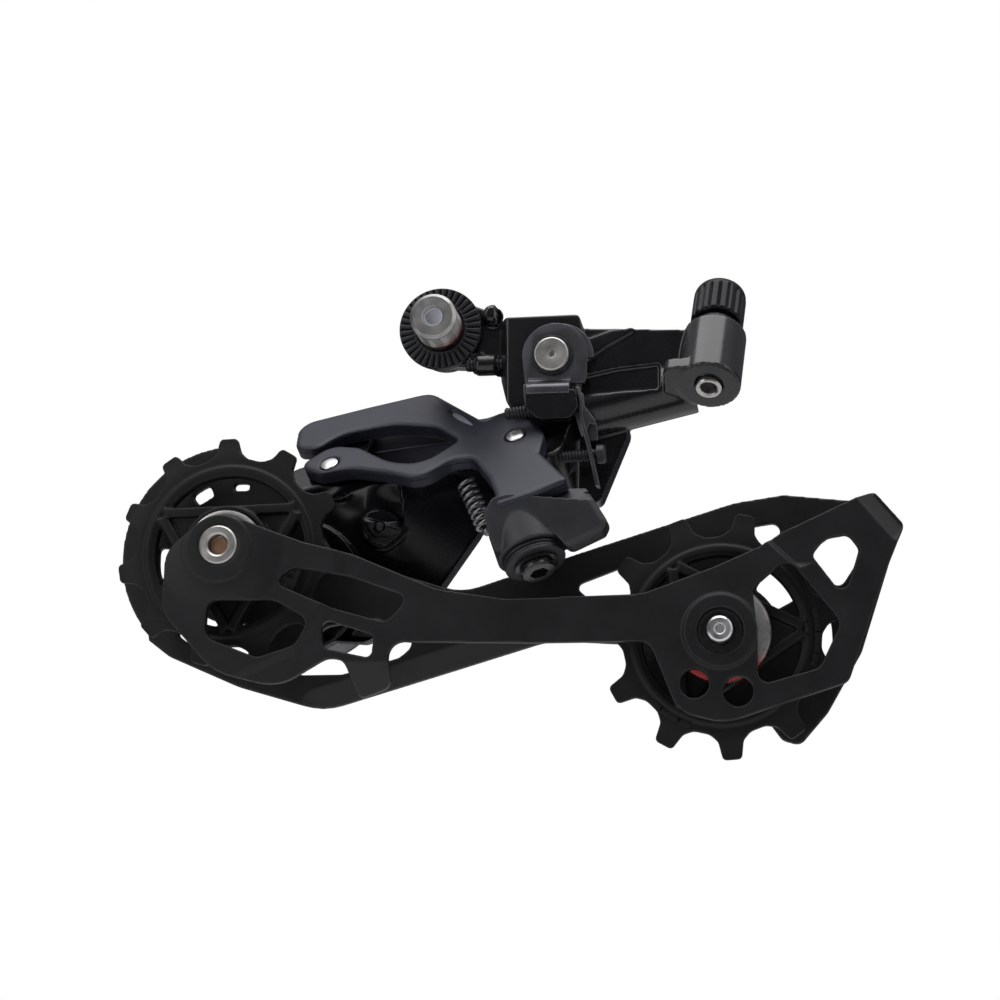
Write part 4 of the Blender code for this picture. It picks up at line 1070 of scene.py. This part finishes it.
def p_knuckle():
    """The moving casting: a barrel for the cage pivot and a lug with the pins of the two links."""
    far = LINK_LENGTH + OUTER_AT.x
    body = cylinder("p_knuckle_fine", 13.6, -20.0, 4.4, AT_PIVOT, 96)
    join(body, slab("p_housing", [
        (-42.0, -52.0, 2.0), (-38.0, -38.0, 4.0), (-34.5, -28.5, 2.0), (-28.0, -25.5, 3.0),
        (-4.0, -31.0, 4.0), (3.0, -31.0, 3.0), (8.0, -43.9, 1.5), (-1.0, -56.6, 3.0),
        (-16.0, -67.0, 4.0), (-34.0, -66.0, 2.0),
    ], -10.0, 0.8))
    join(body, slab("p_flank", [
        (-4.0, -30.8, 2.0), (4.4, -27.0, 2.0), (7.6, -29.0, 2.0), (12.6, -35.6, 2.0),
        (12.6, -40.2, 2.0), (7.0, -44.4, 1.0), (-6.0, -46.0, 1.0),
    ], -10.0, -4.6))
    join(body, slab("p_lug", [
        (LINK_LENGTH - 6.0, 8.0, 3.0), (far - 7.5, -10.0, 3.0), (far - 7.0, -22.0, 4.0),
        (far + 6.5, -22.0, 5.0), (LINK_LENGTH + 6.0, 0.0, 5.0), (LINK_LENGTH + 5.0, 8.0, 3.0),
    ], LUG_LEVEL, -3.5, LINK))
    stop_boss = upright(BOLT_X + STOP_X, STOP_Z)
    join(body, cylinder("p_stop_boss", 4.0, -2.0, 3.4, stop_boss))
    lip = [(-15.6, -41.6), (-7.2, -44.0)] + arc((-11.2, -42.6), 4.3, -20, -170, 16)
    join(body, prism("p_lip", [lip], 1.0, 4.4, BOLT))
    above = [(-20.0, -60.0), (80.0, -60.0), (80.0, 60.0), (-20.0, 60.0)]
    cut(body, prism("p_above", [above], -3.5, 40.0, LINK))
    cut(body, link_slot("p_slot", (far, OUTER_AT.y), 180))
    cut(body, *lug_bores("p_bore", ((LINK_LENGTH, 0), (far, OUTER_AT.y))))
    cut(body, cylinder("p_barrel_bore", 10.0, -21.0, -1.0, AT_PIVOT))
    cut(body, cylinder("p_axle_bore", 4.5, -6.0, 6.0, AT_PIVOT))
    cut(body, cylinder("p_stop_bore", 1.1, -1.5, 6.0, stop_boss))
    peak = np.array((-11.0 + BOLT_X - PIVOT.x, -38.0 - PIVOT.z))

    def shape(points):
        """A blunt cone round the peak with a hollow that opens downwards to the stop pin's lip."""
        away = points[:, :2] - peak
        front = ramp(points[:, 2], -4.0, 0.5)
        fall = 0.30 * np.clip(np.linalg.norm(away, axis=1) - 4.0, 0, 26)
        hollow = 3.0 * ramp(away[:, 0], -5.0, 2.6) * (away[:, 0] < 3.0 - 0.12 * away[:, 1])
        hollow *= ramp(away[:, 1], 6.5, 0.0) * (away[:, 1] > -4.4)
        points[:, 2] -= front * (fall + hollow)
        return points
    cast(body, "p_knuckle", 0.34, 4, shape)


def knuckle_cover():
    """The end cap of the pivot's barrel, with a shallow dished face."""
    profile = [
        (0, -20.3), (13.4, -20.3), (13.6, -20.6), (13.5, -21.6), (13.0, -22.5), (12.2, -23.2),
        (11.0, -23.7), (10.2, -23.6), (9.6, -23.2), (5.0, -23.0), (0, -23.0),
    ]
    stand_in(turned("knuckle_cover_fine", profile, AT_PIVOT), "knuckle_cover", sharp=50)


def stop_pin():
    profile = [(0, 3.9), (0.6, 3.9), (0.9, 3.6), (1.0, 3.2), (1.0, -1.2), (0, -1.2)]
    pin = turned("cage_stop_pin_fine", profile, upright(BOLT_X + STOP_X, STOP_Z), 40)
    stand_in(pin, "cage_stop_pin", LOOKS["black_steel"])


def cage_axle():
    profile = [
        (0, 7.4), (3.7, 7.4), (4.1, 7.0), (4.1, -15.6), (6.2, -15.6), (6.4, -15.8), (6.4, -17.3),
        (6.2, -17.5), (0, -17.5),
    ]
    stand_in(turned("cage_axle_fine", profile, AT_PIVOT), "cage_axle")


def cage_spring():
    """The torsion spring inside the barrel, which keeps the chain tight."""
    place = frame_of(Vector((PIVOT.x, 3.4, PIVOT.z)), Vector((1, 0, 0)), Vector((0, 1, 0)))
    stand_in(wire("cage_spring_fine", coil(7.4, 11.5, 5), 0.9, place), "cage_spring", sharp=60)


# ---------------------------------------------------------------- cage

PLATE = 2.1
TENSION_FROM_GUIDE = (TENSION.x - GUIDE.x, TENSION.z - GUIDE.z)


def signed_gap(points, line):
    """How far points are to the right of a line that keeps turning left, in mm."""
    ends = np.array(line)
    gaps = []
    for a, b in zip(ends, ends[1:]):
        along = (b - a) / np.linalg.norm(b - a)
        gaps.append((points[:, :2] - a) @ np.array((along[1], -along[0])))
    return np.max(gaps, axis=0)


def near_cage_plate():
    """Wheel-side plate, pressed out around the guide pulley's bolt, given from the guide pulley's axis."""
    outline = rounded([
        (-0.7, 7.4, 9), (7.7, 4.0, 3), (17.3, 0.4, 10), (27.3, -2.2, 10), (44.3, -9.6, 12),
        (58.3, -11.9, 10), (85.3, -11.4, 8), (99.3, -6.4, 10), (108.3, -2.6, 3), (112.8, 0.4, 4),
        (130.9, 8.6, 1),
        (136.6, 1.7, 1.5), (132.3, -8.4, 20), (124.8, -29.2, 2.5), (100.9, -37.0, 10), (91.9, -34.6, 6),
        (86.5, -20.8, 3), (61.3, -20.7, 20), (34.7, -20.0, 3), (34.7, -28.6, 2.5), (27.9, -30.8, 1),
        (25.7, -23.6, 2), (22.3, -23.0, 4), (12.3, -28.8, 10), (-0.7, -25.6, 12), (-12.1, -13.0, 8),
        (-11.3, -1.0, 6),
    ])
    windows = [rounded(shape) for shape in (
        [(10.9, -7.6, 2), (15.3, -4.8, 3), (26.3, -6.6, 10), (38.9, -11, 1.8), (34.3, -16.2, 3),
         (23.3, -13, 8)],
        [(-2.3, -11.2, 2), (11.3, -11.2, 6), (18.5, -15.4, 2), (15.9, -20.4, 3), (8.1, -22.8, 3),
         (-2.9, -18.4, 3)],
        [(20.9, -15, 1.5), (31.7, -18.6, 1.2), (31.3, -23.2, 1.2), (21.3, -21, 2)],
        [(106.8, -10.8, 1.5), (113.8, -5.0, 2.5), (123.7, -17.6, 2.5), (119.3, -26.4, 3), (107.4, -29.8, 2),
         (107.6, -20, 20)],
        [(118.0, -3.7, 1.5), (121.6, -1.0, 1.5), (125.4, -0.4, 1.5), (127.8, -3.2, 1.5),
         (124.4, -12.6, 1.5)],
    )]
    holes = [circle((95.2, -29.2), 2.8), circle((103.6, -30.8), 2.9)]
    beam = 20.7
    plate = prism("cage_plate_near_fine", [outline, *windows, *holes], beam - PLATE, beam, AT_GUIDE)
    boss = upright(TENSION.x, TENSION.z)
    join(plate, cylinder("near_boss", 7.2, beam - PLATE, beam + 0.7, boss))
    for label, place, floor in (("guide", AT_GUIDE, beam - 0.1), ("tension", boss, beam - 1.1)):
        cut(plate, cylinder("near_bore_" + label, 2.8, 10, 40, place))
        cut(plate, cylinder("near_recess_" + label, 4.5, floor, 40, place))
    bend = [(4.9, -24.9), (15.0, -20.5), (21.0, -12.5), (23.5, -8.0), (23.5, 10.0)]
    flange = [(130.5, 8.3), (136.2, 1.3)]
    dome_middle = np.array((0, -0.7))

    def shape(points):
        raised = 0.7 * (1 - ramp(signed_gap(points, bend), 0.0, 2.6))
        radius = np.linalg.norm(points[:, :2] - dome_middle, axis=1)
        dome = 1.2 * (1 - ramp(radius, 7.2, 13.5)) + 0.35 * (1 - ramp(radius, 6.7, 7.1))
        x, z = points[:, 0], points[:, 1]
        past_strap = ramp((x - 110.3) * 0.70 + (z + 2.2) * 0.72, 0.0, 0.9) * ramp(z, -8.5, -5.5)
        step = 1.3 * np.maximum(past_strap, ramp(x, 112.0, 120.0))
        tab = 0.9 * np.clip(-24.0 - z, 0, 9) * (x > 24.5) * (x < 37)
        folded = 0.9 * np.clip(3.4 - edge_distance(points, flange, closed=False), 0, 4)
        points[:, 2] += raised + dome - tab - folded - step
        return points
    cast(plate, "cage_plate_near", 0.3, 3, shape)


def far_cage_plate():
    """Outboard plate: a disc and a long strut, given from the guide pulley's axis."""
    lower_edge = [
        (-18.9, -17.2, 0), (-14.3, -20.7, 4), (0.6, -27.2, 16), (18, -32.3, 14), (43.3, -24.9, 16),
        (65.3, -18.4, 14), (83.3, -19.6, 5), (87.9, -32, 6), (101.3, -33.5, 6), (109.3, -35.9, 1),
        (111.8, -39.4, 2), (115.3, -40.4, 2.0), (120.9, -34, 6),
    ]
    upper_edge = [
        (127.9, -22, 3), (135.3, 0, 2), (128.9, 8.4, 2), (113.3, 10.2, 6), (103.3, 8.8, 20), (74.3, 0, 20),
        (47.3, -8.4, 12), (33.3, -4, 8), (20.5, 0.2, 4), (17, 5.5, 3), (13, 11, 6), (1.3, 20.4, 0),
    ]
    outline = arc((-1.6, 0.2), 23.6, 93, 222, 60) + rounded(lower_edge + upper_edge)
    windows = [
        rounded([(70.5, -7.6, 1), (80.9, -3.8, 1.5), (84.7, -10, 2), (73.3, -10, 1.5)]),
        rounded([(105.9, 3.6, 2), (113.9, 4.8, 2), (110.3, -1, 2), (103.3, -0.4, 2)]),
        rounded([
            (118.6, -2.2, 1.5), (121.8, 1.6, 1.5), (125.6, 2.1, 1.5), (128.0, -1.2, 1.5), (126.8, -5.0, 1.5),
            (124.0, -9.2, 1.5), (121.4, -7.2, 1.5),
        ]),
        rounded([
            (11.5, -22.5, 2), (19, -15, 3), (30, -13.5, 3), (38, -18.5, 2), (34.5, -21.6, 2),
            (22.5, -24.9, 2), (13.5, -24.9, 1.5),
        ]),
        sector(14.2, 15.7, 82, 95), sector(14.2, 16.8, 113, 128), sector(14.0, 17.2, 172, 195),
        sector(14.2, 20.6, 231, 279),
    ]
    dx, dz = TENSION_FROM_GUIDE
    for window in (sector(12.0, 20.0, 28, 56), sector(17.5, 21.8, -14, 12)):
        windows.append([(x + dx, z + dz) for x, z in window])
    high = FAR_LEVEL
    plate = prism("cage_plate_far_fine", [outline, *windows], high - PLATE, high, AT_GUIDE)
    for label, place, radius in (
        ("guide", AT_GUIDE, 2.8), ("tension", AT_TENSION, 2.8), ("pivot", AT_PIVOT, 4.4),
    ):
        cut(plate, cylinder("far_bore_" + label, radius, 0, 12, place))
    strut_edge = [point[:2] for point in lower_edge[3:7]]

    def shape(points):
        fall = np.clip(4.6 - edge_distance(points, strut_edge, closed=False), 0, 4.6)
        points[:, 2] -= 0.45 * fall
        return points
    cast(plate, "cage_plate_far", 0.36, 3, shape)


def pulley_bolts():
    """Guide bolt with a ringed head in the dome, and tension bolt screwed through the near plate."""
    radius, dome_top = 2.5, 22.8
    head = [
        (0, -1.8), (2.0, -1.8), (2.1, 0.1), (2.5, 0.35), (3.6, 0.3), (4.1, -0.1), (4.2, -0.6), (4.2, -3.2),
        (radius, -3.2),
    ]
    profile = raised(head, dome_top) + [(radius, 5.0), (0, 5.0)]
    stand_in(turned("guide_pulley_bolt_fine", profile, AT_GUIDE), "guide_pulley_bolt", PIN_FACE, 30)
    hexagon = cylinder("guide_bolt_socket_fine", 1.9, dome_top - 1.85, dome_top - 1.2, AT_GUIDE, 6)
    extra(hexagon, "guide_pulley_bolt", COPPERY, sharp=30)
    end = NEAR_LEVEL + 0.1
    profile = [
        (0, end - 0.5), (0.9, end - 0.45), (1.2, end), (radius - 0.4, end), (radius, end - 0.4),
        (radius, 4.8), (4.4, 4.8), (4.4, 2.9), (4.1, 2.6), (0, 2.6),
    ]
    bolt = turned("tension_pulley_bolt_fine", profile, AT_TENSION)
    cut(bolt, cylinder("tension_bolt_socket", 2.0, 1.0, 4.0, AT_TENSION, 6))
    stand_in(baked(bolt), "tension_pulley_bolt", PIN_BRIGHT, 30)



# ---------------------------------------------------------------- pulleys

GUIDE_TIP, TENSION_TIP = PITCH_RADIUS + 1.4, PITCH_RADIUS + 2.1
VALLEY_RADIUS = PITCH_RADIUS - 2.8


def toothed_outline(turn, tip_radius):
    """Chain-wheel teeth: blunt tips with rounded corners, hollow flanks and round valleys."""
    pitch = 360 / TEETH
    tip = math.degrees(1.85 / tip_radius)
    base = math.degrees(2.35 / VALLEY_RADIUS)
    corners = []
    for i in range(TEETH):
        middle = turn + pitch * i
        for angle, radius, bend in (
            (-base, VALLEY_RADIUS + 1.3, 1.6), (-tip, tip_radius, 0.9),
            (tip, tip_radius, 0.9), (base, VALLEY_RADIUS + 1.3, 1.6),
            (pitch / 2 - 4.6, VALLEY_RADIUS, 2.2), (pitch / 2 + 4.6, VALLEY_RADIUS, 2.2),
        ):
            corners.append((*polar((0, 0), radius, middle + angle), bend))
    return rounded(corners, 12.0)


def chord_shape(near_chord, far_radius, middle):
    """The piece of a disc beyond a chord, with rounded corners, facing the middle angle."""
    half = math.degrees(math.acos(near_chord / far_radius))
    edge = [(x, y, 0) for x, y in arc((0, 0), far_radius, middle - half, middle + half, 24)]
    edge[0] = (*edge[0][:2], 1.0)
    edge[-1] = (*edge[-1][:2], 1.0)
    return rounded(edge)


def bar(distance, width, half_length, angle):
    """A straight bar across the disc at a distance from its axis, as an outline."""
    spin = Matrix.Rotation(math.radians(angle), 2)
    corners = [
        (distance - width, -half_length), (distance, -half_length), (distance, half_length),
        (distance - width, half_length),
    ]
    return [tuple(spin @ Vector(corner)) for corner in corners]


def pulley(name, place, turn, window_turn, tip_radius):
    """Toothed wheel with a raised rim and three bars round its hub, its bush and its two dust caps."""
    middle = PULLEY_MIDDLE
    low, high = -box_of(name)[1].y, -box_of(name)[0].y
    tooth, web = 1.2, 0.8
    angles = [window_turn + 120 * i for i in range(3)]
    windows = [chord_shape(9.6, 15.6, angle) for angle in angles]
    wheel = prism(name + "_fine", [toothed_outline(turn, tip_radius), circle((0, 0), 15.9, 120)],
                  middle - tooth, middle + tooth, place)
    web_disc = prism(name + "_web", [circle((0, 0), 17.0, 120), *windows], middle - web, middle + web, place)
    join(wheel, web_disc)
    join(wheel, tube(name + "_rim", 17.9, 16.6, middle - 1.6, middle + 1.6, place, 120))
    for i, angle in enumerate(angles):
        strip = [bar(9.5, 2.0, 13.7, angle)]
        join(wheel, prism(f"{name}_bar_{i}", strip, middle - 1.9, middle + 1.9, place))
    join(wheel, cylinder(name + "_hub", 9.2, low, high, place))
    cut(wheel, cylinder(name + "_seat", 6.7, low - 1, high + 1, place))
    for side in (1, -1):
        cut(wheel, tube(f"{name}_recess_{side + 1}", 8.2, 6.0, middle + side * 3.2 - 0.5,
                        middle + side * 3.2 + 0.5, place))

    def shape(points):
        radius = np.linalg.norm(points[:, :2], axis=1)
        thin = 1 - 0.42 * ramp(radius, 19.0, tip_radius)
        points[:, 2] = middle + (points[:, 2] - middle) * thin
        return points
    cast(wheel, name, 0.24, 3, shape)

    bush = tube(name + "_bearing_fine", 6.4, 2.8, low, high, place)
    stand_in(baked(soften_edges(bush, 0.2)), name + "_bearing")
    for start, side, label in ((high, 1, "near"), (low, -1, "far")):
        dust_cap(f"{name}_cap_{label}", place, start + side * 0.3, side, name.startswith("tension"))


def dust_cap(node, place, level, side, sealed):
    """A silver shield with a rolled edge. The tension pulley's holds a bronze seal inside its rim."""
    profile = [
        (8.0, 0.0), (8.0, 0.9), (7.8, 1.2), (7.3, 1.35), (6.7, 1.2), (6.4, 0.95), (3.6, 1.1), (3.3, 1.35),
        (2.8, 1.35), (2.8, 0.0),
    ]
    if sealed:
        profile = [
            (9.9, 0.0), (9.9, 0.7), (9.7, 1.0), (8.9, 1.3), (7.2, 1.4), (6.9, 1.1), (6.8, 0.5), (2.8, 0.5),
            (2.8, 0.0),
        ]
    cap = turned(node + "_fine", raised(profile, level, side), place)
    stand_in(cap, node, SEALED_SHIELD if sealed else SHIELD, 35)
    if sealed:
        seal = [(6.8, 0.4), (6.8, 0.9), (6.2, 1.1), (5.4, 1.2), (4.6, 0.8), (2.8, 0.8), (2.8, 0.4)]
        extra(turned(node + "_seal", raised(seal, level, side), place), node, SEAL, 35)



def embossed_marks(place):
    """Short raised bars on the tension pulley's rim, in place of the moulded lettering."""
    level = PULLEY_MIDDLE + 1.15
    marks = []
    for start, end in ((-138, -109), (-21, 14)):
        count = round((end - start) / 4.2)
        for i in range(count):
            angle = start + (i + 0.5) * (end - start) / count
            wide = 0.9 if i % 3 else 0.45
            corners = [(18.3, -wide), (19.5, -wide), (19.5, wide), (18.3, wide)]
            spin = Matrix.Rotation(math.radians(angle), 2)
            outline = [tuple(spin @ Vector(corner)) for corner in corners]
            mark = prism(f"mark_{len(marks)}", [outline], level - 0.2, level + 0.25, place, 0.08)
            marks.append(baked(mark))
    extra(merge(marks[0], *marks[1:]), "tension_pulley", sharp=30)


# ---------------------------------------------------------------- floor, light and camera

def stage_floor():
    """A pale floor well below the object."""
    work = bmesh.new()
    bmesh.ops.create_circle(work, cap_ends=True, segments=96, radius=1.2)
    floor = new_object("floor", mesh_from("floor", work), upright())
    floor.matrix_world = Matrix.Translation((0, 0, -0.26))
    nodes = Nodes("pale_floor")
    nodes.link(nodes.mix(nodes.noise(0.02), (0.84, 0.84, 0.84), (0.88, 0.88, 0.88)),
               nodes.shader.inputs["Base Color"])
    nodes.link(nodes.spread(nodes.noise(0.3), 0.7, 0.85), nodes.shader.inputs["Roughness"])
    floor.data.materials.append(nodes.material)


def studio_world():
    """White behind the object, and for its reflections a room that is bright above and dim below."""
    world = bpy.data.worlds.new("studio")
    world.use_nodes = True
    bpy.context.scene.world = world
    tree = world.node_tree
    tree.nodes.clear()
    place, split, height, shade, room, backdrop, seen, choose, output = (
        tree.nodes.new("ShaderNode" + kind) for kind in (
            "TexCoord", "SeparateXYZ", "MapRange", "ValToRGB", "Background", "Background", "LightPath",
            "MixShader", "OutputWorld",
        )
    )
    dim, bright = shade.color_ramp.elements
    dim.position, dim.color = 0.57, (0.030, 0.031, 0.034, 1)
    bright.position, bright.color = 0.95, (0.44, 0.44, 0.46, 1)
    height.inputs["From Min"].default_value = -1
    backdrop.inputs["Color"].default_value = (1, 1, 1, 1)
    for source, target in (
        (place.outputs["Generated"], split.inputs[0]),
        (split.outputs[2], height.inputs["Value"]),
        (height.outputs["Result"], shade.inputs["Fac"]),
        (shade.outputs["Color"], room.inputs["Color"]),
        (seen.outputs["Is Camera Ray"], choose.inputs[0]),
        (room.outputs[0], choose.inputs[1]),
        (backdrop.outputs[0], choose.inputs[2]),
        (choose.outputs[0], output.inputs["Surface"]),
    ):
        tree.links.new(source, target)


MIDDLE = (Vector(CAD_BOX[0]) + Vector(CAD_BOX[1])) / 2


def softbox(name, place, size, watts):
    """A square area light that faces the object. Place is in metres from the object's middle."""
    light = bpy.data.lights.new(name, "AREA")
    light.shape = "RECTANGLE"
    light.size, light.size_y = size
    light.energy = watts
    lamp = bpy.data.objects.new(name, light)
    lamp.location = MIDDLE + Vector(place)
    lamp.rotation_euler = Vector(place).to_track_quat("Z", "Y").to_euler()
    bpy.context.scene.collection.objects.link(lamp)


def camera():
    """The photograph's view: from the wheel side, a little from the rear and from below."""
    azimuth, elevation, distance = math.radians(8), math.radians(-11), 0.430
    target = Vector((5.99, 0.0, -37.93)) * MM
    level = math.cos(elevation)
    back = Vector((math.sin(azimuth) * level, -math.cos(azimuth) * level, math.sin(elevation)))
    right = Vector((math.cos(azimuth), math.sin(azimuth), 0))
    turn = Matrix((right, back.cross(right), back)).transposed()
    lens = bpy.data.cameras.new("camera")
    lens.lens = 73.69
    lens.sensor_width = 36.0
    lens.clip_start = 0.01
    made = bpy.data.objects.new("camera", lens)
    made.matrix_world = Matrix.Translation(target + back * distance) @ turn.to_4x4()
    bpy.context.scene.collection.objects.link(made)
    bpy.context.scene.camera = made


for make_piece in (
    mounting_bolt, serrated_ring, b_knuckle, adjusting_screws, screw_block, bracket_plate, bracket_strip,
    bracket_pin, barrel_adjuster, cable_ferrule, inner_link, outer_link, link_pins, cable_arm, link_wedge,
    cable_clamp, return_spring, p_knuckle, knuckle_cover, stop_pin, cage_axle, cage_spring, near_cage_plate,
    far_cage_plate, pulley_bolts,
):
    make_piece()
pulley("guide_pulley", AT_GUIDE, 92, 91, GUIDE_TIP)
pulley("tension_pulley", AT_TENSION, 77.5, 63, TENSION_TIP)
embossed_marks(AT_TENSION)

stage_floor()
studio_world()
softbox("top_light", (0.0, -0.15, 0.75), (0.9, 0.7), 5.0)
softbox("left_light", (-0.62, -0.58, 0.28), (0.4, 0.8), 1.7)
softbox("right_light", (0.75, -0.25, 0.3), (0.35, 0.8), 1.2)
camera()
bpy.context.scene.view_settings.view_transform = "Standard"
